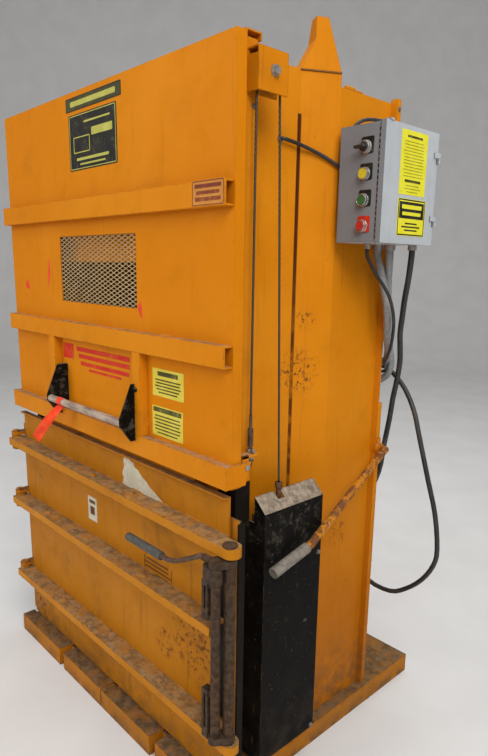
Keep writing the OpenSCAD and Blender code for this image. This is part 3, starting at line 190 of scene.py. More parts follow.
# ------------------------ materials
def paint(name, base, second, dust, rust, grime, low, wear, seed, streak, gloss=0.42,
          lying_dust=(0.21, 0.155, 0.10), seams=(), spots=(), black=None, front_shade=0.0, dull=0.0, gap_shade=None):
    """Weathered enamel: faded patches, dust on top faces, grime, rust specks and worn edges.
    seams are upright lines (x, y, z from, z to) along which rust has come through, spots are rusted places (x, y, z,
    radius), black is a black band along one axis (axis, clean from, black from), overspray on the door frame and
    painted shade of a dark recess on the tracks, and the last argument is painted shade, a dark upright band (x from, x
    to, z from, z to) where a gap lies in shadow. Two more arguments add painted shade: one darkens and dulls the lower
    part, one darkens the faces that look forward."""
    n = Nodes(name)
    v = n.vector("ADD", n.co, (seed, seed * 1.7, seed * 0.6))
    big = n.noise(2.2, 4, 0.6, v)
    mid = n.noise(11, 5, 0.65, v, 0.4)
    fine = n.noise(140, 3, 0.6, v)
    color = n.mix(n.ramp(big, 0.35, 0.68), base, second)
    color = n.mix(n.ramp(mid, 0.5, 0.82, 0, 0.30), color, [c * 0.60 for c in second])
    # vertical run marks
    runs = n.noise(9, 4, 0.6, n.scaled(6, 6, 0.35, v))
    color = n.mix(n.times(n.ramp(runs, 0.55, 0.8), streak), color, (0.13, 0.050, 0.010))
    # painted shade: the lower part is darker and duller, as if less lit
    if dull > 0:
        color = n.mix(n.ramp(n.axis(2), 1.25, 0.25, 0.0, dull), color, (0.26, 0.060, 0.001))
    # grime in broad soft patches
    patch = n.times(n.ramp(n.noise(5, 5, 0.7, v), 0.52, 0.78), grime)
    color = n.mix(patch, color, (0.085, 0.042, 0.016))
    # dirt thrown up from the ground
    if low > 0:
        foot = n.ramp(n.axis(2), 0.0, low, 1.0, 0.0)
        splash = n.times(foot, n.ramp(n.noise(16, 5, 0.7, v), 0.34, 0.64))
        color = n.mix(n.times(splash, 0.78), color, (0.105, 0.058, 0.028))
    # dust that lies on faces that look up
    top = n.ramp(n.facing(2), 0.55, 0.95)
    lumps = n.noise(34, 5, 0.75, v)
    lying = n.times(top, n.ramp(n.noise(13, 5, 0.7, v), 0.30, 0.60, 0.45, 1.0))
    lying = n.times(lying, dust)
    earth = n.mix(n.ramp(lumps, 0.35, 0.65), [c * 0.55 for c in lying_dust], [c * 1.25 for c in lying_dust])
    color = n.mix(lying, color, earth)
    # painted shade: faces that look forward are darker and cooler
    if front_shade > 0:
        face = n.ramp(n.facing(1), -0.55, -0.95, 0.0, front_shade)
        color = n.mix(face, color, (0.078, 0.088, 0.100))
    # specks of rust and chips
    specks = n.ramp(n.noise(62, 3, 0.7, v), 0.665, 0.72)
    where = n.ramp(n.noise(4.2, 3, 0.6, v), 0.45, 0.7)
    rusted = n.times(n.times(specks, where), rust)
    for x, y, z, radius in spots:
        near = n.ramp(n.vector("DISTANCE", n.co, tuple(at(x, y, z)), "Value"), radius / 1000, radius / 3000)
        flaked = n.ramp(n.noise(78, 5, 0.75, v), 0.61, 0.51, 1.0, 0.0)
        rusted = n.math("MAXIMUM", rusted, n.times(near, flaked))
    # edges lose their paint first
    edge = n.edges(n.bevel(0.0045, 4))
    broken = n.ramp(n.noise(38, 5, 0.75, v), 0.44, 0.60)
    worn = n.times(n.times(edge, broken), wear)
    bad = n.math("MAXIMUM", rusted, worn)
    rusty = n.mix(n.ramp(fine, 0.35, 0.65), (0.060, 0.020, 0.008), (0.17, 0.060, 0.022))
    color = n.mix(bad, color, rusty)
    for x, y, z0, z1 in seams:
        side = n.math("ABSOLUTE", n.axis(0))
        across = n.math("ABSOLUTE", n.math("SUBTRACT_FREE", side, x / 1000))
        along = n.math("ABSOLUTE", n.math("SUBTRACT_FREE", n.axis(1), (y + FACE_Y) / 1000))
        line = n.times(n.ramp(across, 0.0034, 0.0017), n.ramp(along, 0.009, 0.006))
        span = n.times(n.ramp(n.axis(2), z0 / 1000, z0 / 1000 + 0.02),
                       n.ramp(n.axis(2), z1 / 1000, z1 / 1000 - 0.004))
        thin = n.ramp(n.noise(13, 4, 0.7, v), 0.36, 0.56, 0.45, 0.95)
        solid = n.ramp(n.axis(2), z0 / 1000, z0 / 1000 + 0.75, 0.0, 1.0)
        color = n.mix(n.times(n.times(line, span), n.math("MAXIMUM", thin, solid)), color,
                      (0.075, 0.018, 0.005))
    # black band along one axis: black overspray on the door frame, painted shade of a dark recess on the lower tracks
    if black is not None:
        k, clean, dark = black
        color = n.mix(n.ramp(n.axis(k), clean, dark), color, (0.010, 0.007, 0.005))
    # painted shade: a dark upright band on the door where the gap between the latch pipe and its bar lies in shadow
    if gap_shade is not None:
        x0, x1, z0, z1 = (q / 1000 for q in gap_shade)
        wide = n.times(n.ramp(n.axis(0), x0 - 0.003, x0), n.ramp(n.axis(0), x1 + 0.003, x1))
        tall = n.times(n.ramp(n.axis(2), z0 - 0.03, z0), n.ramp(n.axis(2), z1 + 0.01, z1))
        color = n.mix(n.times(wide, tall), color, (0.012, 0.008, 0.005))
    rough = n.math("ADD", n.ramp(mid, 0.3, 0.75, gloss, gloss + 0.22), n.times(bad, 0.3))
    rough = n.math("ADD", rough, n.times(lying, 0.35))
    dents = n.bump(n.noise(3.4, 2, 0.5, v), 0.35, 0.010, n.bevel(0.0022, 4))
    normal = n.bump(n.noise(420, 2, 0.5, v), 0.10, 0.0008, dents)
    normal = n.bump(n.times(lumps, lying), 0.7, 0.006, normal)
    normal = n.bump(bad, 0.35, 0.0006, normal)
    return n.finish(color, rough, normal, Specular_IOR_Level=0.06)


def metal(name, base, second, rough, metallic, rust, scale=90.0, bump=0.15, stretch=(1, 1, 1),
          rust_dark=(0.075, 0.028, 0.011), rust_light=(0.18, 0.078, 0.032)):
    """Bare or plated metal with tone changes, light scratches and some rust."""
    n = Nodes(name)
    v = n.scaled(*stretch)
    a = n.noise(scale, 4, 0.6, v)
    b = n.noise(scale * 0.16, 4, 0.65)
    color = n.mix(n.ramp(a, 0.3, 0.7), base, second)
    spots = n.times(n.ramp(b, 0.46, 0.66), rust)
    color = n.mix(spots, color, n.mix(n.ramp(a, 0.3, 0.7), rust_dark, rust_light))
    normal = n.bump(a, bump, 0.0008, n.bevel(0.0012))
    shine = n.math("SUBTRACT", metallic, n.times(spots, metallic))
    return n.finish(color, n.math("ADD", n.ramp(b, 0.3, 0.8, rough, rough + 0.2), n.times(spots, 0.3)),
                    normal, shine, Specular_IOR_Level=0.2)


# bands about 6 mm apart, as on the grip of the latch lever
RIB_SCALE = 52.0


def plain(name, base, second, rough, scale, bump, distance=0.0006, dust=0.25, ribs=None):
    """Rubber, plastic or print: two close tones, light dust and a fine surface."""
    n = Nodes(name)
    a = n.noise(scale, 4, 0.6)
    b = n.noise(scale * 0.12, 4, 0.6)
    color = n.mix(n.ramp(a, 0.3, 0.7), base, second)
    color = n.mix(n.times(n.ramp(b, 0.45, 0.75), dust), color, (0.24, 0.19, 0.135))
    normal = n.bump(a, bump, distance, n.bevel(0.001))
    if ribs is not None:
        normal = n.bump(n.bands(ribs, RIB_SCALE), 0.8, 0.0016, normal)
    return n.finish(color, n.ramp(b, 0.3, 0.7, rough, rough + 0.15), normal)


def black_guard(name, lid=0.9):
    """Black paint, scuffed and dusty, with scratches down to primer."""
    n = Nodes(name)
    mid = n.noise(9, 6, 0.7, None, 0.8)
    color = n.mix(n.ramp(mid, 0.42, 0.72), (0.0042, 0.0038, 0.0032), (0.0125, 0.0105, 0.0080))
    scratch = n.ramp(n.noise(24, 5, 0.7, n.scaled(1, 1.0, 0.16)), 0.62, 0.70)
    color = n.mix(n.times(scratch, 0.34), color, (0.17, 0.125, 0.080))
    flecks = n.times(n.ramp(n.noise(85, 3, 0.7), 0.66, 0.72), n.ramp(mid, 0.3, 0.5))
    high = n.ramp(n.axis(2), 0.25, 0.85, 0.34, 0.55)
    color = n.mix(n.times(flecks, high), color, (0.24, 0.21, 0.17))
    # rubbed patch below the sloping edge
    rubbed = n.times(n.ramp(n.axis(2), 0.70, 0.88), n.ramp(n.noise(30, 6, 0.8), 0.50, 0.66))
    color = n.mix(n.times(rubbed, 0.45), color, (0.13, 0.11, 0.085))
    top = n.times(n.ramp(n.facing(2), 0.45, 0.72), n.ramp(n.noise(20, 5, 0.7), 0.28, 0.6, 0.55, 1.0))
    dusty = n.mix(n.ramp(n.noise(45, 5, 0.7), 0.35, 0.65), (0.22, 0.175, 0.13), (0.44, 0.355, 0.265))
    color = n.mix(n.times(top, lid), color, dusty)
    rim = n.bevel(0.004, 4)
    worn = n.times(n.edges(rim), n.ramp(n.noise(30, 5, 0.7), 0.45, 0.62))
    color = n.mix(n.times(worn, 0.5), color, (0.16, 0.10, 0.055))
    foot = n.times(n.ramp(n.axis(2), 0.05, 0.45, 1.0, 0.0), n.ramp(n.noise(14, 5, 0.7), 0.4, 0.7))
    color = n.mix(n.times(foot, 0.3), color, (0.075, 0.052, 0.032))
    normal = n.bump(mid, 0.3, 0.004, rim)
    normal = n.bump(n.noise(160, 3, 0.6), 0.15, 0.0006, normal)
    return n.finish(color, n.ramp(mid, 0.35, 0.7, 0.45, 0.65), normal, Specular_IOR_Level=0.05)


def rope(name):
    """Twisted wire rope: strands run slantwise round the cable."""
    n = Nodes(name)
    strands = n.bands("DIAGONAL", 90, n.scaled(1.0, 1.0, 0.55), 0.4)
    a = n.noise(60, 4, 0.6)
    color = n.mix(n.ramp(strands, 0.1, 0.5), (0.030, 0.025, 0.018), (0.085, 0.072, 0.055))
    color = n.mix(n.ramp(a, 0.45, 0.75, 0, 0.5), color, (0.075, 0.038, 0.018))
    return n.finish(color, n.ramp(a, 0.3, 0.7, 0.42, 0.65), n.bump(strands, 0.6, 0.0008), 0.45)


# x and y of the upright fold where the front corner of a side starts to slope
FOLD = (528, 328)
EARTH = (0.145, 0.095, 0.052)
# Each paint: name, two tones, then dust, rust, grime, height of the splashes, wear, seed, streaks and gloss.
PAINTS = {
    "gate": ("paint_gate", (0.595, 0.185, 0.0025), (0.64, 0.215, 0.006), 0.35, 0.30, 0.14, 0.0, 0.25, 3.0, 0.14),
    "bars": ("paint_gate_bars", (0.585, 0.185, 0.003), (0.63, 0.215, 0.007), 0.80, 0.5, 0.22, 0.0, 0.6, 5.0, 0.12),
    "door": ("paint_door", (0.415, 0.148, 0.006), (0.47, 0.175, 0.012), 0.85, 0.7, 0.42, 0.24, 0.6, 7.0, 0.36),
    "door_bars": ("paint_door_bars", (0.45, 0.165, 0.008), (0.52, 0.20, 0.014), 0.95, 0.8, 0.45, 0.0, 0.95, 9.0, 0.2),
    "body": ("paint_body", (0.60, 0.195, 0.003), (0.655, 0.23, 0.008), 0.55, 0.6, 0.16, 0.45, 0.4, 1.0, 0.22),
    "mesh": ("paint_mesh", (0.56, 0.36, 0.15), (0.63, 0.45, 0.24), 0.6, 0.4, 0.3, 0.0, 0.3, 4.0, 0.1),
    "trim": ("paint_trim", (0.575, 0.185, 0.003), (0.63, 0.215, 0.007), 0.75, 0.5, 0.30, 0.0, 0.55, 13.0, 0.2),
    "tracks": ("paint_tracks", (0.56, 0.175, 0.003), (0.61, 0.205, 0.007), 0.6, 0.5, 0.30, 0.0, 0.5, 14.0, 0.2),
    "base": ("paint_base", (0.45, 0.158, 0.007), (0.35, 0.130, 0.012), 0.97, 0.9, 0.55, 0.06, 0.9, 15.0, 0.4),
    "frame": ("paint_door_frame", (0.40, 0.140, 0.008), (0.46, 0.17, 0.014), 0.9, 0.8, 0.6, 0.2, 0.8, 16.0, 0.35),
    # inside is a darker copy of the orange paint: painted shade on the inner parts
    "inside": ("paint_inside_shaded", (0.26, 0.085, 0.004), (0.34, 0.12, 0.010), 0.5, 0.5, 0.5, 0.3, 0.3, 17.0, 0.4),
    "box": ("box_enamel", (0.42, 0.445, 0.465), (0.485, 0.51, 0.53), 0.20, 0.10, 0.10, 0.0, 0.12, 19.0, 0.10, 0.40),
    "machine": ("machine_enamel", (0.16, 0.18, 0.19), (0.21, 0.23, 0.24), 0.5, 0.2, 0.4, 0.0, 0.3, 21.0, 0.3, 0.4),
    "tank": ("tank_enamel", (0.30, 0.105, 0.008), (0.38, 0.14, 0.014), 0.6, 0.5, 0.6, 0.2, 0.4, 23.0, 0.5),
    "dusty_weld": ("paint_weld", (0.20, 0.085, 0.02), (0.32, 0.14, 0.03), 0.9, 0.9, 0.8, 0.0, 0.9, 27.0, 0.2),
}
# What some paints have besides.
EXTRAS = {
    "bars": dict(lying_dust=(0.30, 0.205, 0.115)),
    # door: rusted spots, and painted shade in the gap beside the latch
    "door": dict(spots=[(470, 4, 455, 150), (560, 4, 360, 90), (330, 4, 400, 70), (-560, 4, 150, 110)],
                 gap_shade=(584, 612, 300, 835)),
    "door_bars": dict(lying_dust=(0.265, 0.165, 0.080)),
    # body: a rust seam at the fold, rusted spots, and painted shade that darkens its lower part
    "body": dict(seams=[(*FOLD, 872, 1961)], spots=[(536, 342, 1250, 85), (545, 360, 1400, 40), (584, 520, 700, 60)],
                 dull=0.55),
    "trim": dict(lying_dust=(0.30, 0.215, 0.125)),
    # tracks: painted shade, black below 0.985 m where a dark recess lies
    "tracks": dict(black=(2, 0.989, 0.983)),
    "base": dict(lying_dust=EARTH),
    "frame": dict(lying_dust=EARTH, black=(0, 0.649, 0.653)),
    # box: painted shade on the faces that look forward
    "box": dict(lying_dust=(0.42, 0.41, 0.36), front_shade=0.62),
}
# Each metal: name, two tones, then roughness, metallic share, rust, scale, bump, stretch and two tones of rust.
METALS = {
    "steel": ("plated_steel", (0.34, 0.33, 0.31), (0.48, 0.46, 0.43), 0.36, 0.85, 0.25),
    "bolt": ("old_bolt", (0.16, 0.135, 0.11), (0.30, 0.27, 0.235), 0.45, 0.6, 0.55, 70, 0.3),
    "worn_bar": ("worn_bar", (0.26, 0.19, 0.145), (0.52, 0.41, 0.32), 0.42, 0.30, 0.50, 60, 0.25, (0.3, 1, 1),
                 (0.05, 0.03, 0.024), (0.12, 0.078, 0.062)),
    "rust": ("rusty_steel", (0.060, 0.034, 0.020), (0.125, 0.072, 0.042), 0.55, 0.2, 0.75, 55, 0.5),
    "latch": ("latch_steel", (0.030, 0.018, 0.011), (0.078, 0.047, 0.027), 0.55, 0.2, 0.6, 70, 0.5, (1, 1, 1),
              (0.045, 0.022, 0.011), (0.115, 0.062, 0.030)),
    "lever_rod": ("lever_rod", (0.055, 0.035, 0.024), (0.14, 0.088, 0.058), 0.5, 0.3, 0.6, 70, 0.4),
    "chrome": ("chrome_ring", (0.46, 0.45, 0.43), (0.64, 0.63, 0.60), 0.22, 0.9, 0.10, 40, 0.03),
}
# Each plain stuff: name, two tones, then roughness, scale, bump and its depth, dust and the axis of its ribs.
PLAINS = {
    "conduit": ("conduit", (0.215, 0.225, 0.225), (0.29, 0.30, 0.30), 0.5, 80, 0.1, 0.0006, 0.2),
    "sheath": ("cable_sheath", (0.010, 0.010, 0.011), (0.022, 0.022, 0.023), 0.42, 90, 0.12, 0.0006, 0.14),
    "grip": ("grip_rubber", (0.125, 0.108, 0.088), (0.235, 0.205, 0.170), 0.6, 70, 0.3, 0.001, 0.5),
    "grip_dark": ("grip_dark", (0.045, 0.043, 0.037), (0.088, 0.083, 0.072), 0.6, 70, 0.3, 0.001, 0.3, "X"),
    "plastic": ("black_plastic", (0.010, 0.010, 0.010), (0.020, 0.020, 0.020), 0.35, 60, 0.05, 0.0006, 0.1),
    "gear": ("gear_plastic", (0.03, 0.03, 0.03), (0.07, 0.07, 0.07), 0.45, 40, 0.05),
    "yellow": ("yellow_button", (0.62, 0.50, 0.010), (0.70, 0.58, 0.02), 0.3, 50, 0.03, 0.0004, 0.12),
    "green": ("green_button", (0.008, 0.105, 0.030), (0.014, 0.15, 0.045), 0.3, 50, 0.03, 0.0004, 0.12),
    "red": ("red_button", (0.42, 0.020, 0.022), (0.50, 0.035, 0.036), 0.3, 50, 0.03, 0.0004, 0.12),
}


def lever_paint():
    """A bar whose paint has half gone: rust, patches of orange and light scuffs."""
    n = Nodes("paint_lever")
    a = n.noise(26, 6, 0.75)
    b = n.noise(70, 5, 0.7)
    color = n.mix(n.ramp(a, 0.42, 0.54), (0.52, 0.185, 0.006), (0.165, 0.062, 0.024))
    color = n.mix(n.ramp(b, 0.56, 0.66, 0.0, 0.8), color, (0.075, 0.030, 0.014))
    color = n.mix(n.ramp(n.noise(58, 4, 0.7), 0.62, 0.70, 0.0, 0.9), color, (0.70, 0.46, 0.16))
    return n.finish(color, n.ramp(a, 0.4, 0.6, 0.45, 0.75), n.bump(a, 0.4, 0.0015), Specular_IOR_Level=0.15)


def pins_metal():
    """Bright axles in the sheave boxes above, hinge pins below that were painted and have rusted."""
    n = Nodes("pins")
    a = n.noise(60, 5, 0.7)
    high = n.ramp(n.axis(2), 1.25, 1.30)
    bright = n.mix(n.ramp(a, 0.3, 0.7), (0.30, 0.29, 0.27), (0.46, 0.44, 0.41))
    painted = n.mix(n.ramp(a, 0.45, 0.60), (0.38, 0.135, 0.008), (0.115, 0.048, 0.020))
    return n.finish(n.mix(high, painted, bright), n.ramp(a, 0.3, 0.7, 0.42, 0.62), n.bump(a, 0.3, 0.0008),
                    n.times(high, 0.8), Specular_IOR_Level=0.15)


M = {key: paint(*row, **EXTRAS.get(key, {})) for key, row in PAINTS.items()}
M.update((key, metal(*row)) for key, row in METALS.items())
M.update((key, plain(*row)) for key, row in PLAINS.items())
M.update(guard=black_guard("black_paint"), bracket=black_guard("black_bracket", 0.35), rope=rope("wire_rope"),
         lever=lever_paint(), pins=pins_metal())

# the nodes that each material goes on
LOOK = {
    "gate": "gate_sheet",
    "mesh": "window_mesh",
    "bars": "gate_channels gate_ribs",
    "door": "door_plate",
    "door_bars": "door_bars",
    "body": "side_housings corner_horns rear_wall",
    "trim": "header_beam front_panel sheave_boxes lever_bearing",
    "tracks": "gate_tracks",
    "base": "base_rails deck_plate sill_bars",
    "frame": "door_frame",
    "inside": "chamber_walls roof_plate platen",
    "box": "control_box box_door",
    "machine": "pump_motor valve_and_pipes",
    "tank": "oil_tank",
    "guard": "weight_guards",
    "bracket": "handle_brackets cable_anchors",
    "lever_rod": "latch_lever",
    "pins": "pins",
    "steel": "conduit_fittings ram_barrels ram_rods gate_shoes",
    "bolt": "frame_bolts",
    "worn_bar": "handle_bar",
    "rust": "counterweights sheave_right sheave_left",
    "latch": "latch_crank",
    "chrome": "operator_bezels",
    "rope": "cable_wraps gate_cables weight_cables",
    "conduit": "conduits",
    "sheath": "motor_cable loop_cable switch_cable top_cable control_cable",
    "grip": "side_grip handle_ribbon",
    "grip_dark": "latch_grip",
    "plastic": "selector_knob",
    "gear": "control_gear",
    "yellow": "yellow_button",
    "green": "green_button",
    "red": "red_button",
    "lever": "side_lever",
}
for group, names in LOOK.items():
    for name in names.split():
        nodes[name].data.materials.clear()
        nodes[name].data.materials.append(M[group])


# ------------------------ cables and conduits
def smooth_route(p, steps):
    """The same smoothing as the CAD source: straight end stretches, Catmull-Rom between."""
    p = [Vector(q) for q in p]
    out = []
    for i in range(len(p) - 1):
        for k in range(steps):
            u = k / steps
            if i == 0 or i == len(p) - 2:
                out.append(p[i] + (p[i + 1] - p[i]) * u)
            else:
                a, b, c, d = p[i - 1], p[i], p[i + 1], p[i + 2]
                out.append(0.5 * (2 * b + (c - a) * u + (2 * a - 5 * b + 4 * c - d) * u * u
                                  + (3 * b - a - 3 * c + d) * u ** 3))
    out.append(p[-1])
    return out


def make_cable(name, node, look, slot, stiffness, steps, radius, route):
    pts = [at(*q) for q in smooth_route(route, steps)]
    data = bpy.data.curves.new(name, "CURVE")
    data.dimensions = "3D"
    spline = data.splines.new("POLY")
    spline.points.add(len(pts) - 1)
    for s, q in zip(spline.points, pts):
        s.co = (*q, 1)
    data.bevel_depth = radius / 1000
    data.bevel_resolution = 5
    data.use_fill_caps = True
    data.materials.append(M[look])
    obj = new_object(name, data)
    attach(obj, "frame")
    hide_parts(node)


# Each cable: node that it replaces, look, slot, stiffness, steps between points, radius, route in the CAD source.
CABLES = {
    "conduit_front": ("conduits", "conduit", "conduit", "medium", 3, 12, [
        (622, 592, 1605.7), (622, 592, 1590), (634, 590, 1558), (650, 592, 1503), (657, 600, 1459), (658, 611, 1413),
        (644, 635, 1371), (634, 654, 1335), (622, 682, 1296), (600, 708, 1262), (570, 716, 1247), (548, 714, 1245),
        (532.3, 714, 1245)]),
    "conduit_rear": ("conduits", "conduit", "conduit", "medium", 3, 12, [
        (658, 602, 1605.7), (658, 602, 1590), (651, 613, 1558), (641, 628, 1520), (636, 640, 1469), (632, 655, 1410),
        (620, 685, 1350), (606, 712, 1300), (598, 738, 1250), (580, 750, 1205), (548, 748, 1180), (532.3, 748, 1180)]),
    "control_lead": ("control_cable", "sheath", "cable_sheath", "medium", 3, 5, [
        (664, 480, 1605.7), (664, 480, 1592), (667, 492, 1570), (677, 520, 1529), (687, 545, 1498), (692, 570, 1463),
        (686, 600, 1419), (676, 622, 1376), (660, 640, 1322), (636, 660, 1280), (616, 673, 1252), (609, 698, 1238),
        (596, 720, 1226), (570, 731, 1215), (545, 731, 1213), (532.3, 731, 1213)]),
    "switch_lead": ("switch_cable", "sheath", "cable_sheath", "medium", 5, 5, [
        (532.3, 252, 1884), (541, 252, 1884), (543, 317, 1877), (567, 384, 1854), (590, 425, 1830), (595, 445, 1822),
        (597, 462, 1820), (597, 477.7, 1820)]),
    "top_lead": ("top_cable", "sheath", "cable_sheath", "medium", 4, 5, [
        (591, 466, 1848.3), (591, 466, 1866), (594, 474, 1925), (602, 500, 1955), (612, 545, 1966), (626, 592, 1962),
        (628, 610, 1946), (628, 610, 1932.3)]),
    "motor_lead": ("motor_cable", "sheath", "cable_sheath", "stiff", 3, 9, [
        (712, 636, 1605.7), (712, 636, 1590), (698, 650, 1522), (675, 674, 1462), (650, 706, 1400), (635, 724, 1349),
        (630, 738, 1300), (627, 747, 1250), (617, 753, 1190), (603, 757, 1120), (595, 758, 1051), (579, 760, 955),
        (558, 770, 850), (500, 784, 740), (400, 798, 660), (300, 804, 622), (200, 804, 612), (160, 804, 612),
        (142.3, 804, 612)]),
    "loop_lead": ("loop_cable", "sheath", "cable_sheath", "stiff", 3, 8, [
        (532.3, 776, 1226), (550, 776, 1226), (575, 778, 1212), (604, 778, 1190), (640, 770, 1160), (674, 760, 1118),
        (697, 754, 1076), (715, 752, 1022), (763, 750, 876), (798, 750, 767), (816, 750, 651), (807, 750, 590),
        (770, 750, 524), (712, 750, 466), (649, 750, 431), (549, 760, 430), (440, 800, 470), (320, 828, 560),
        (230, 840, 606), (160, 840, 612), (142.3, 840, 612)]),
}
for name, row in CABLES.items():
    make_cable(name, *row)


# ------------------------ mesh helpers
def mesh_data(name, bm, material, smooth):
    data = bpy.data.meshes.new(name)
    bm.to_mesh(data)
    bm.free()
    for f in data.polygons:
        f.use_smooth = smooth
    data.materials.append(material)
    return data


def mesh_object(name, bm, material, body, slot, smooth=False):
    bmesh.ops.recalc_face_normals(bm, faces=bm.faces)
    obj = new_object(name, mesh_data(name, bm, material, smooth))
    if body is not None:
        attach(obj, body)
    return obj


def loft(bm, rows, wrap=True, ends="closed"):
    """Faces between rows of points: each row runs round unless wrap is off, and the ends are closed, open or joined."""
    rows = [[bm.verts.new(q) for q in row] for row in rows]
    if ends == "closed":
        bm.faces.new(rows[0][::-1])
        bm.faces.new(rows[-1])
    elif ends == "joined":
        rows.append(rows[0])
    m = len(rows[0])
    for a, b in zip(rows, rows[1:]):
        for i in range(m if wrap else m - 1):
            j = (i + 1) % m
            bm.faces.new((a[i], a[j], b[j], b[i]))


def middle(points):
    return [sum(c) / len(points) for c in zip(*points)]


def rounded(w, h, r, n=4):
    """Outline of a rectangle with round corners about its middle."""
    pts = []
    for cx, cy, a0 in ((w / 2 - r, h / 2 - r, 0), (-w / 2 + r, h / 2 - r, 90),
                       (-w / 2 + r, -h / 2 + r, 180), (w / 2 - r, -h / 2 + r, 270)):
        for k in range(n + 1):
            a = math.radians(a0 + 90 * k / n)
            pts.append((cx + r * math.cos(a), cy + r * math.sin(a)))
    return pts


def add_slab(bm, outline, t, place):
    """A flat piece with its outline in x and y, t thick, put in place by a matrix, with a fine chamfer."""
    cx, cy = middle(outline)
    top = []
    for x, y in outline:
        d = Vector((cx - x, cy - y))
        d = d.normalized() * min(t * 0.4, d.length * 0.2)
        top.append(place @ Vector((x + d.x, y + d.y, t)))
    loft(bm, [[place @ Vector((x, y, z)) for x, y in outline] for z in (0, t * 0.7)] + [top])


def on_face(x, y, z, *turns):
    """Matrix for a piece in millimetres at a point of the CAD source, after turns in degrees."""
    m = Matrix.Translation(at(x, y, z))
    for angle, axis in turns:
        m = m @ Matrix.Rotation(math.radians(angle), 4, axis)
    return m @ Matrix.Scale(0.001, 4)


def on_front(x, y, z, turn=0.0):
    """The same on a face that looks forward: x to the right, y up."""
    return on_face(x, y, z, (90, "X"), (turn, "Z"))


def on_side(x, y, z):
    """The same on a face that looks along +x: x runs back, y up."""
    return on_face(x, y, z, (90, "Z"), (90, "X"))


# body and slot of what lies on each face
GATE = ("gate", "paint")
DOOR = ("door", "paint")
BOX_DOOR = ("box_door", "box_grey")


def fields(name, place, boxes, look, on, r, t, lift=0.0):
    """Small bars on one face as one piece: (middle x, middle y, width, height), with corners r and t thick."""
    bm = bmesh.new()
    for x, y, w, h in boxes:
        add_slab(bm, rounded(w, h, min(r, w / 2.1, h / 2.1), 2), t, place @ Matrix.Translation((x, y, lift)))
    mesh_object(name, bm, P[look], *on)


def label(name, place, on, size, look, r, t, *layers):
    """A blank plate and what is printed on it: (ending of the name, boxes, look, corners, thickness) for each layer."""
    bm = bmesh.new()
    add_slab(bm, rounded(*size, r), t, place)
    mesh_object(name, bm, P[look], *on)
    for ending, boxes, ink, corner, thick in layers:
        fields(name + ending, place, boxes, ink, on, corner, thick, t)


def frame_bars(w, h, thick, long, tall):
    """Four bars round a plate, w and h from the middle."""
    return [(0, h, long, thick), (0, -h, long, thick), (-w, 0, thick, tall), (w, 0, thick, tall)]


def printed(name, base, second, wear, chips, rough=0.5):
    """Old printed film or plate: uneven tone, rubbed through in places."""
    n = Nodes(name)
    a = n.noise(24, 5, 0.65)
    b = n.noise(95, 4, 0.7)
    color = n.mix(n.ramp(a, 0.35, 0.7), base, second)
    rubbed = n.times(n.times(n.ramp(b, 0.52, 0.64), n.ramp(a, 0.40, 0.62)), wear)
    color = n.mix(rubbed, color, chips)
    return n.finish(color, n.ramp(a, 0.3, 0.7, rough, rough + 0.2), n.bump(b, 0.12, 0.0004), Specular_IOR_Level=0.2)


# Each print: two tones, then wear and the tone that shows through.
P = {key: printed("print_" + key, *row) for key, row in {
    "black": ((0.010, 0.009, 0.008), (0.026, 0.024, 0.018), 0.30, (0.20, 0.17, 0.06)),
    "olive": ((0.040, 0.038, 0.014), (0.075, 0.070, 0.024), 0.3, (0.02, 0.02, 0.015)),
    "lime": ((0.40, 0.38, 0.065), (0.50, 0.47, 0.11), 0.3, (0.06, 0.06, 0.03)),
    "yellow": ((0.72, 0.665, 0.018), (0.78, 0.73, 0.05), 0.2, (0.5, 0.42, 0.1)),
    "pale": ((0.62, 0.50, 0.045), (0.70, 0.60, 0.10), 0.3, (0.45, 0.26, 0.03)),
    "ink": ((0.045, 0.042, 0.012), (0.12, 0.11, 0.022), 0.4, (0.5, 0.42, 0.05)),
    "olive_ink": ((0.26, 0.235, 0.02), (0.40, 0.36, 0.03), 0.5, (0.7, 0.62, 0.03)),
    "red": ((0.54, 0.020, 0.008), (0.60, 0.045, 0.014), 0.55, (0.58, 0.19, 0.01)),
    "maroon": ((0.155, 0.028, 0.012), (0.26, 0.060, 0.018), 0.5, (0.5, 0.2, 0.02)),
    "cream": ((0.50, 0.455, 0.335), (0.62, 0.575, 0.45), 0.55, (0.26, 0.20, 0.13)),
    "pale_red": ((0.50, 0.19, 0.022), (0.58, 0.25, 0.05), 0.5, (0.30, 0.05, 0.015)),
    "faded": ((0.085, 0.030, 0.010), (0.15, 0.055, 0.015), 0.35, (0.38, 0.14, 0.01)),
}.items()}
P["dab"] = printed("marker_dab", (0.66, 0.045, 0.012), (0.74, 0.085, 0.022), 0.35, (0.58, 0.19, 0.01), 0.4)


# ------------------------ lifting cables, anchors and guard lids
def tube_between(bm, a, b, radii, sides=12):
    """A round bar from a to b, closed at both ends, with a radius for each of its evenly spaced rings."""
    a, b = Vector(a), Vector(b)
    t = (b - a).normalized()
    side = t.orthogonal().normalized()
    up = t.cross(side)
    rows = []
    for i, r in enumerate(radii):
        q = a.lerp(b, i / (len(radii) - 1))
        rows.append([at(*(q + side * (r * math.cos(v)) + up * (r * math.sin(v))))
                     for v in (2 * math.pi * k / sides for k in range(sides))])
    loft(bm, rows)


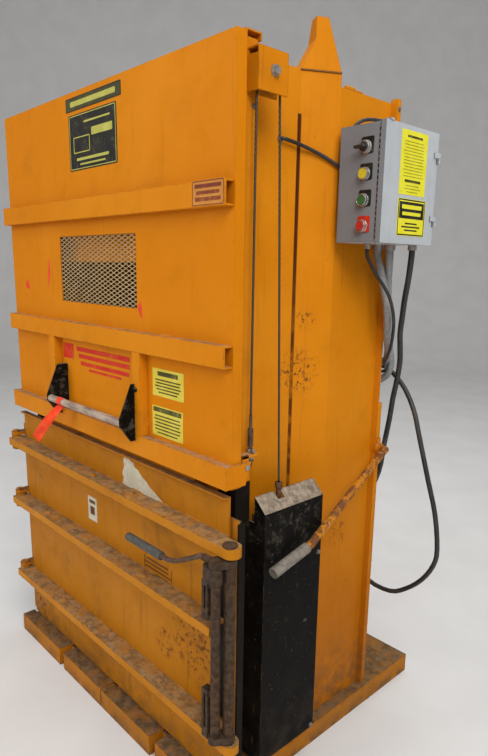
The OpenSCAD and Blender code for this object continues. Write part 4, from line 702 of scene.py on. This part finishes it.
def add_box(bm, lo, hi, edge):
    """A block with its upright and level edges lightly broken."""
    w, d, h = (b - a for a, b in zip(lo, hi))
    e = min(edge, w / 3, d / 3, h / 3)
    outline = [(lo[0] + e, lo[1]), (hi[0] - e, lo[1]), (hi[0], lo[1] + e), (hi[0], hi[1] - e),
               (hi[0] - e, hi[1]), (lo[0] + e, hi[1]), (lo[0], hi[1] - e), (lo[0], lo[1] + e)]
    mx, my = (lo[0] + hi[0]) / 2, (lo[1] + hi[1]) / 2
    rows = []
    for z, shrink in ((lo[2], e), (lo[2] + e, 0), (hi[2] - e, 0), (hi[2], e)):
        sx, sy = 1 - 2 * shrink / w, 1 - 2 * shrink / d
        rows.append([at(mx + (x - mx) * sx, my + (y - my) * sy, z) for x, y in outline])
    loft(bm, rows)


def box_pairs(bm, *boxes):
    """Blocks on the right and, mirrored, on the left: (low corner, high corner, broken edge)."""
    for s in (1, -1):
        for (x0, y0, z0), (x1, y1, z1), edge in boxes:
            x0, x1 = sorted((s * x0, s * x1))
            add_box(bm, (x0, y0, z0), (x1, y1, z1), edge)


CABLE_X, CABLE_R = 620, 3
SHEAVE_Z, SHEAVE_FRONT, SHEAVE_BACK = 1999, 77, 153
ANCHOR_Z, WEIGHT_Y, EYE_Z = 1175, 190, 965
CABLE_RINGS = 60


def lift_cable(name, low, high, node):
    """A pair of cables from their lower ends, which in the machine move with the gate and weight, up to the sheaves;
    here they are straight and attached to no body.
    """
    bm = bmesh.new()
    for s in (1, -1):
        tube_between(bm, (s * CABLE_X, *low), (s * CABLE_X, *high), [CABLE_R] * CABLE_RINGS)
    obj = mesh_object(name, bm, M["rope"], None, "wire_rope", True)
    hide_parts(node)
    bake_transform(obj)


lift_cable("lift_cables_front", (SHEAVE_FRONT, ANCHOR_Z + 0.3), (SHEAVE_FRONT, SHEAVE_Z - 0.3), "gate_cables")
lift_cable("lift_cables_rear", (WEIGHT_Y, EYE_Z + 0.3), (SHEAVE_BACK, SHEAVE_Z - 0.3), "weight_cables")

# slim threaded eye of each cable with its nuts, on a bracket at the edge of the gate
bm = bmesh.new()
box_pairs(bm, ((632, 34, 1021), (638, 56, 1074), 0.8), ((608, 34, 1066), (638, 89, 1074), 0.8))
mesh_object("anchor_brackets", bm, M["trim"], "gate", "paint")


def on_cable(bm, *stretches):
    """Round or six-sided lengths about both front cables: (from z, to z, radius, sides)."""
    for s in (1, -1):
        for z0, z1, r, sides in stretches:
            tube_between(bm, (s * CABLE_X, SHEAVE_FRONT, z0), (s * CABLE_X, SHEAVE_FRONT, z1), (r, r), sides)


bm = bmesh.new()
on_cable(bm, (1036, 1100, 5.2, 12), (1092, 1139, 7.4, 12), (1139, ANCHOR_Z, 4.2, 12), (1048, 1057, 9, 6))
eyes = mesh_object("threaded_eyes", bm, M["lever_rod"], "gate", "steel")
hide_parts("cable_anchors")
bm = bmesh.new()
on_cable(bm, (1074, 1084, 10, 6), (1057, 1066, 10, 6))
for s in (1, -1):
    x = s * CABLE_X
    tube_between(bm, (x + s * 6, SHEAVE_FRONT - 4, 1079), (x + s * 21, SHEAVE_FRONT - 6, 1083), (4.2, 4.2), 10)
    tube_between(bm, (s * 638, 45, 1044), (s * 646, 45, 1044), (8, 8), 6)
mesh_object("anchor_nuts", bm, M["steel"], "gate", "steel")

# strips that close the slot in each guard lid up to the hanger of the weight, sloping down from the body
LID_X, LID_Z, LID_SLOPE, STRIP = 612.5, 939.6, 0.95, 3.4
LID_END_X, LID_END_Z = 640.5, 913.0
bm = bmesh.new()
for s in (1, -1):
    for y0, y1, x0 in ((-22.2, -13, LID_X), (13, 22.2, LID_X), (-12.9, 12.9, 631.8)):
        top = LID_Z - LID_SLOPE * (x0 - LID_X)
        section = ((x0, top), (LID_END_X, LID_END_Z), (LID_END_X, LID_END_Z - STRIP), (x0, top - STRIP))
        loft(bm, [[at(s * x, WEIGHT_Y + y, z) for x, z in section] for y in (y0, y1)])
mesh_object("guard_lid_strips", bm, M["guard"], "frame", "black_paint")

# the left handle bracket reaches back to the gate
bm = bmesh.new()
add_box(bm, (-235, -28, 1058.5), (-229, -0.1, 1176), 0.8)
mesh_object("handle_bracket_foot", bm, M["bracket"], "gate", "black_paint")

# lump on the top edge of each side
bm = bmesh.new()
box_pairs(bm, ((577, 452, 2034), (584, 497, 2045), 3.0), ((577, 497, 2034), (584, 530, 2040), 2.5))
mesh_object("side_top_lumps", bm, M["body"], "frame", "paint")


# ------------------------ blank plates and coloured fields on the gate
GATE_FACE = -0.05
CHANNEL_FACE = -28.05
label("name_strip", on_front(-1, GATE_FACE, 2030.5), GATE, (320, 39), "olive", 3, 0.9,
      ("_rim", frame_bars(158, 18, 1.6, 316, 36), "black", 0.8, 0.3),
      ("_bar", [(0, 0, 262, 15)], "lime", 4, 0.25))
label("name_plate", on_front(-7, GATE_FACE, 1918.5), GATE, (280, 163), "black", 5, 0.9,
      ("_rim", frame_bars(134, 77, 2.4, 270, 156), "lime", 1.2, 0.3),
      ("_bars", [(58, 22, 118, 22), (-62, 14, 96, 3), (-62, -30, 96, 3), (-110, -8, 3, 46), (-14, -8, 3, 46),
                 (0, -50, 190, 8), (0, -65, 150, 5), (30, 54, 150, 5)], "lime", 1.5, 0.3))
label("channel_label", on_front(569, CHANNEL_FACE, 1721), GATE, (118, 58), "pale_red", 2, 0.6,
      ("_bars", [(0, 16, 98, 9), (0, 1, 86, 8), (0, -14, 94, 9), *frame_bars(57, 27, 2.2, 114, 52)], "maroon",
       0.8, 0.25))
p = on_front(-40, GATE_FACE, 1245)
fields("red_field", p, [(-178, 14, 74, 52)], "red", GATE, 3, 0.6)
fields("red_bars", p, [(45, 27, 330, 15), (52, 4, 316, 14), (56, -20, 300, 13), (60, -38, 200, 8)], "red", GATE, 2, 0.5)
label("label_upper", on_front(362, GATE_FACE, 1226), GATE, (146, 80), "pale", 2, 0.6,
      ("_bars", [(0, 26, 96, 13), (0, 8, 120, 4), (0, -1, 112, 4), (0, -10, 122, 4), (0, -19, 108, 4),
                 (0, -28, 90, 4)], "ink", 0.7, 0.2))
label("label_lower", on_front(358, GATE_FACE, 1112), GATE, (145, 88), "pale", 2, 0.6,
      ("_bars", [(0, 34, 134, 14), (0, 16, 120, 4), (0, 6, 126, 4), (0, -4, 116, 4), (0, -14, 124, 4),
                 (0, -24, 118, 4), (0, -34, 96, 4)], "ink", 0.7, 0.2))


def dab(name, x, z, w, h, turn):
    """A stroke of marker paint with a ragged edge."""
    corners = 22
    outline = []
    for k in range(corners):
        a = 2 * math.pi * k / corners
        r = 1 + 0.22 * math.sin(3 * a + x) + rng.uniform(-0.12, 0.12)
        outline.append((0.5 * w * r * math.cos(a), 0.5 * h * r * math.sin(a)))
    bm = bmesh.new()
    add_slab(bm, outline, 0.3, on_front(x, GATE_FACE, z, turn))
    mesh_object(name, bm, P["dab"], *GATE)


dab("marker_dab_left", -517, 1475, 30, 34, 20)
dab("marker_dab_top", -337, 1521, 18, 84, -8)
dab("marker_dab_right", 232, 1426, 20, 44, 12)

# ------------------------ marks on the door
DOOR_FACE = 3.95
torn = [(121, 962), (139, 958), (152, 950), (168, 946), (176, 934), (196, 929), (212, 915), (236, 905), (262, 889),
        (300, 873), (338, 858), (322, 852), (290, 856), (262, 850), (230, 856), (206, 848), (180, 857), (150, 852),
        (128, 860), (103, 861), (110, 880), (104, 900), (115, 921), (112, 944)]
bm = bmesh.new()
cx, cz = middle(torn)
add_slab(bm, [(x - cx, z - cz) for x, z in torn], 0.5, on_front(cx, DOOR_FACE, cz))
mesh_object("torn_label", bm, P["cream"], *DOOR)
label("small_label", on_front(-101, DOOR_FACE, 709), DOOR, (60, 88), "cream", 2, 0.5,
      ("_bars", [(0, 26, 40, 12), (0, -6, 30, 30)], "faded", 1, 0.2))
fields("faded_label", on_front(291, DOOR_FACE, 616), [
    (0, 36, 110, 6), (-6, 22, 128, 5), (4, 8, 136, 5), (-8, -6, 122, 5), (0, -20, 132, 5), (2, -34, 100, 5),
    (-70, 0, 3, 84), (74, 0, 3, 84)], "faded", DOOR, 1, 0.25)

# ------------------------ fields on the door of the control box
BOX_SIDE = 754.05
label("box_label_tall", on_side(BOX_SIDE, 546, 1832), BOX_DOOR, (128, 164), "yellow", 2, 0.5,
      ("_bars", [(0, 67, 74, 6), (0, -46, 78, 7)], "ink", 0.7, 0.2),
      ("_lines", [(2 * (k % 3 - 1), 54 - 8 * k, 92 + 6 * (k % 2), 2.2) for k in range(12)]
       + [(0, -58, 66, 2.2), (0, -66, 80, 2.2), (0, -74, 58, 2.2)], "olive_ink", 0.7, 0.2))
p = on_side(BOX_SIDE, 552, 1691)
label("box_label_low", p, BOX_DOOR, (138, 98), "yellow", 2, 0.5,
      ("_bars", [(0, 19, 122, 44), *frame_bars(65, 46, 3.4, 132, 92), (0, -16, 60, 4), (0, -25, 92, 4),
                 (0, -34, 64, 4)], "black", 1, 0.2))
fields("box_label_low_blanks", p, [(0, 28, 98, 11), (0, 10, 92, 9)], "yellow", BOX_DOOR, 2, 0.15, 0.7)


# ------------------------ operators of the control box
PANEL_Y, OPERATOR_X = 412, 693
OPERATOR_Z = (1865, 1798, 1731, 1664)
SELECTOR_Z, RED_Z = OPERATOR_Z[0], OPERATOR_Z[3]
LATHE_STEPS = 28


def lathe(bm, profile, z):
    """A ring or knob turned about the axis of an operator: profile is (radius, distance before the panel)."""
    loft(bm, [[at(OPERATOR_X + r * math.cos(a), PANEL_Y - d, z + r * math.sin(a)) for r, d in profile]
              for a in (2 * math.pi * k / LATHE_STEPS for k in range(LATHE_STEPS))], ends="joined")


def crisp(obj):
    """Split the smooth shading at the sharp edges."""
    obj.modifiers.new("edges", "EDGE_SPLIT").split_angle = math.radians(35)


bm = bmesh.new()
for z in OPERATOR_Z:
    lathe(bm, [(13.4, 0.2), (17.6, 0.2), (17.6, 3.4), (16.2, 4.2), (16.2, 11.6), (15.2, 13.2), (13.9, 13.2),
               (13.4, 12.4)], z)
rings = mesh_object("operator_rings", bm, M["chrome"], "frame", "steel", True)
crisp(rings)
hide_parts("operator_bezels")
bm = bmesh.new()
lathe(bm, [(0.05, 5.4), (12.9, 5.4), (12.9, 12.6), (11.8, 14.2), (0.05, 14.6)], RED_Z)
red = mesh_object("red_button_cap", bm, M["red"], "red", "red", True)
crisp(red)
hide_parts("red_button")
bm = bmesh.new()
lathe(bm, [(0.05, 0.4), (12.9, 0.4), (12.9, 14.0), (11.6, 15.4), (0.05, 15.6)], SELECTOR_Z)
add_box(bm, (OPERATOR_X - 24, PANEL_Y - 27, SELECTOR_Z - 4.5),
        (OPERATOR_X + 10, PANEL_Y - 14.8, SELECTOR_Z + 4.5), 2.2)
knob = mesh_object("selector_lever", bm, M["plastic"], "selector", "black_plastic")
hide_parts("selector_knob")

# long hinge of the box: a dark gap with bright knuckle ends
HINGE_LINE = 735
KNUCKLES, KNUCKLE_Z, KNUCKLE_STEP = 19, 1640, 15
bm = bmesh.new()
add_box(bm, (HINGE_LINE - 2.2, PANEL_Y - 0.9, 1630), (HINGE_LINE + 2.2, PANEL_Y + 0.4, 1916), 0.3)
mesh_object("box_front_seam", bm, P["black"], "frame", "black_plastic")
bm = bmesh.new()
for k in range(KNUCKLES):
    z = KNUCKLE_Z + k * KNUCKLE_STEP
    add_box(bm, (HINGE_LINE - 1.0, PANEL_Y - 1.6, z), (HINGE_LINE + 1.2, PANEL_Y - 0.5, z + 5), 0.3)
mesh_object("box_front_seam_knuckles", bm, M["chrome"], "frame", "steel")

# legend plates behind the operators, each with a round hole for the ring
BOX_FACE, LEGEND = 411.95, 1.2
for k, z in enumerate(OPERATOR_Z):
    p = on_front(OPERATOR_X, BOX_FACE, z)
    outline = [(x + 4, y + 5) for x, y in rounded(39, 42, 3)]
    hole = rounded(35.4, 35.4, 17.2)
    bm = bmesh.new()
    loft(bm, [[p @ Vector((x, y, h)) for x, y in line]
              for line, h in ((outline, 0), (outline, LEGEND), (hole, LEGEND), (hole, 0))], ends="joined")
    mesh_object(f"legend_plate_{k + 1}", bm, P["red" if z == RED_Z else "black"], "frame", "black_plastic")


# ------------------------ ribbon on the lifting bar
THREADS = 260


def cloth_ribbon():
    n = Nodes("ribbon_cloth")
    weave = n.times(n.bands("X", THREADS), n.bands("Z", THREADS))
    a = n.noise(30, 4, 0.6)
    color = n.mix(n.ramp(a, 0.35, 0.7), (0.80, 0.040, 0.006), (0.90, 0.085, 0.012))
    color = n.mix(n.ramp(weave, 0.0, 0.4, 0.20, 0.0), color, (0.45, 0.018, 0.004))
    look = n.finish(color, 0.7, n.bump(weave, 0.4, 0.0004), Sheen_Weight=0.1, Specular_IOR_Level=0.15)
    bar_y, bar_z, r = -68.0, 1098.0, 13.0
    bar_x, width = -152.0, 34.0
    pts = []
    # most of the way round the bar, then down in a slack curve
    turns, first, swept = 25, -150, 330
    for k in range(turns):
        a = math.radians(first + swept * k / (turns - 1))
        out = r + 0.25 * k / 6
        pts.append(Vector((bar_x, bar_y + out * math.sin(a), bar_z + out * math.cos(a))))
    start = pts[-1]
    end = Vector((-256.0, -118.0, 953.0))
    hang = 22
    for k in range(1, hang + 1):
        t = k / hang
        sag = math.sin(math.pi * min(t * 1.1, 1))
        pts.append(start.lerp(end, t) + Vector((5 * math.sin(t * 4.4), -9 * sag, 5 * sag)))
    rows = []
    cols = 7
    for i, q in enumerate(pts):
        t = (pts[min(i + 1, len(pts) - 1)] - pts[max(i - 1, 0)]).normalized()
        blend = min(max((i - turns + 2) / 9, 0), 1)
        across = Vector((1, 0, 0)) * (1 - blend) + Vector((0.86, 0.42, -0.30)) * blend
        across = (across - t * across.dot(t)).normalized()
        lift = t.cross(across)
        row = []
        for c in range(cols):
            u = c / (cols - 1) - 0.5
            curl = 2.2 * blend * (math.cos(u * 5.5 + i * 0.35) - 0.6)
            row.append(at(*(q + across * (width * u) + lift * curl)))
        rows.append(row)
    bm = bmesh.new()
    loft(bm, rows, False, "open")
    obj = mesh_object("handle_strip", bm, look, "gate", "ribbon", True)
    solid = obj.modifiers.new("thick", "SOLIDIFY")
    solid.thickness = 0.0006
    sub = obj.modifiers.new("smooth", "SUBSURF")
    sub.levels = sub.render_levels = 1
    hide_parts("handle_ribbon")


cloth_ribbon()


# ------------------------ weld beads
BEAD_STEP = 4.5


def bead(bm, a, b, r, seed):
    """A weld bead: a row of low overlapping scales along a joint."""
    n = max(6, int((Vector(b) - Vector(a)).length / BEAD_STEP))
    local = random.Random(seed)
    tube_between(bm, a, b, [r * (0.86 + 0.16 * (i % 2) + local.uniform(-0.1, 0.1)) for i in range(n + 1)], 6)


bm = bmesh.new()
for s in (1, -1):
    bead(bm, (s * 528.5, 327.0, 2069), (s * 585, 430.0, 2069), 3.0, 5)
    bead(bm, (s * 528.3, 62, 1990), (s * 528.3, 62, 2069), 2.0, 6)
mesh_object("horn_welds", bm, M["dusty_weld"], "frame", "paint", True)


def lump(bm, x, y, z, size, seed):
    """A knob of weld or dried dirt."""
    local = random.Random(seed)
    made = bmesh.ops.create_icosphere(bm, subdivisions=3, radius=1.0)
    for v in made["verts"]:
        r = 1 + 0.18 * math.sin(5 * v.co.x + seed) * math.cos(4 * v.co.y) + local.uniform(-0.05, 0.05)
        v.co = at(x + v.co.x * size[0] * r, y + v.co.y * size[1] * r, z + v.co.z * size[2] * r)


bm = bmesh.new()
for k, (x, y, z, size) in enumerate((
        (-32, -30, 861, (13, 11, 9)), (409, -53, 860.5, (4, 6, 3)), (409, -30, 860.5, (4, 14, 2.5)),
        (-31, -54, 609, (9, 5, 5)), (-85, -54, 281, (10, 5, 5)), (-240, -30, 861, (20, 12, 3)),
        (180, -24, 861, (26, 14, 3)), (-400, -28, 611, (24, 12, 3)), (250, -30, 611, (30, 14, 3)),
        (-300, -30, 283, (28, 14, 3)), (330, -26, 283, (22, 12, 3)))):
    lump(bm, x, y, z, size, k + 3)
mesh_object("door_bar_lumps", bm, M["door_bars"], "door", "paint", True)

# short runs along the door bars, then round the channels and ribs of the gate
DOOR_BARS_Z, DOOR_WELD_END = (860, 610, 282), 560
CHANNELS_Z, RIB_SIDES_X, WELD_END = (1749.5, 1363.5, 1058.5), (-305, -267, 224, 262), 600
bm = bmesh.new()
for k, z in enumerate(DOOR_BARS_Z):
    x = -DOOR_WELD_END
    while x < DOOR_WELD_END:
        w = rng.uniform(45, 70)
        bead(bm, (x, 3.6, z + 0.5), (x + w, 3.6, z + 0.5), 3.0, k * 50 + int(x))
        x += w + rng.uniform(70, 120)
mesh_object("door_bar_welds", bm, M["door_bars"], "door", "paint", True)
bm = bmesh.new()
for z in CHANNELS_Z:
    x = -WELD_END
    while x < WELD_END:
        w = rng.uniform(36, 55)
        bead(bm, (x, -0.6, z), (min(x + w, WELD_END), -0.6, z), 2.6, int(x + z))
        x += w + rng.uniform(110, 180)
for x in RIB_SIDES_X:
    for z in (1085, 1160, 1250):
        bead(bm, (x, -0.6, z), (x, -0.6, z + 32), 2.4, int(x + z))
mesh_object("gate_welds", bm, M["bars"], "gate", "paint", True)


# ------------------------ floor and light
def make_stage():
    n = Nodes("floor")
    a = n.noise(3, 3, 0.5)
    color = n.mix(n.ramp(a, 0.3, 0.7), (0.66, 0.655, 0.645), (0.70, 0.695, 0.685))
    look = n.finish(color, 0.85)
    # floor that turns up into a far wall: (distance, height) in metres
    near, bend, radius, top, half_width, drop, yaw, steps = -14, 7.0, 3, 14, 60, 0.0005, 46.9, 12
    profile = [(near, 0), (bend, 0)]
    for k in range(1, steps + 1):
        a = math.radians(90 * k / steps)
        profile.append((bend + radius * math.sin(a), radius - radius * math.cos(a)))
    profile.append((bend + radius, top))
    turn = Matrix.Rotation(math.radians(yaw), 4, "Z")
    bm = bmesh.new()
    loft(bm, [[turn @ Vector((x, y, z - drop)) for x in (-half_width, half_width)] for y, z in profile], False, "open")
    new_object("floor", mesh_data("floor", bm, look, True))


def area_light(name, place, target, size, power, color=(1, 1, 1)):
    data = bpy.data.lights.new(name, "AREA")
    data.shape = "RECTANGLE"
    data.size, data.size_y = size
    data.energy = power
    data.color = color
    obj = new_object(name, data)
    place, target = Vector(place), Vector(target)
    obj.matrix_world = Matrix.Translation(place) @ (target - place).to_track_quat("-Z", "Y").to_matrix().to_4x4()


make_stage()
area_light("key", (4.6, -2.6, 5.2), (0.2, -0.2, 1.0), (3.6, 3.6), 305, (1.0, 0.99, 0.975))
area_light("front", (-2.2, -5.4, 3.4), (0, -0.3, 1.0), (4.0, 3.0), 140, (0.985, 0.99, 1.0))
area_light("top", (0.5, 0.6, 6.2), (0.1, 0, 1.0), (4.5, 4.5), 165)
world = bpy.data.worlds.new("studio")
bpy.context.scene.world = world
world.use_nodes = True
background = world.node_tree.nodes["Background"].inputs
background["Color"].default_value = (1.0, 1.0, 1.0, 1)
background["Strength"].default_value = 0.32
# plain display of colours, so that the paint keeps its depth
bpy.context.scene.view_settings.view_transform = "Standard"
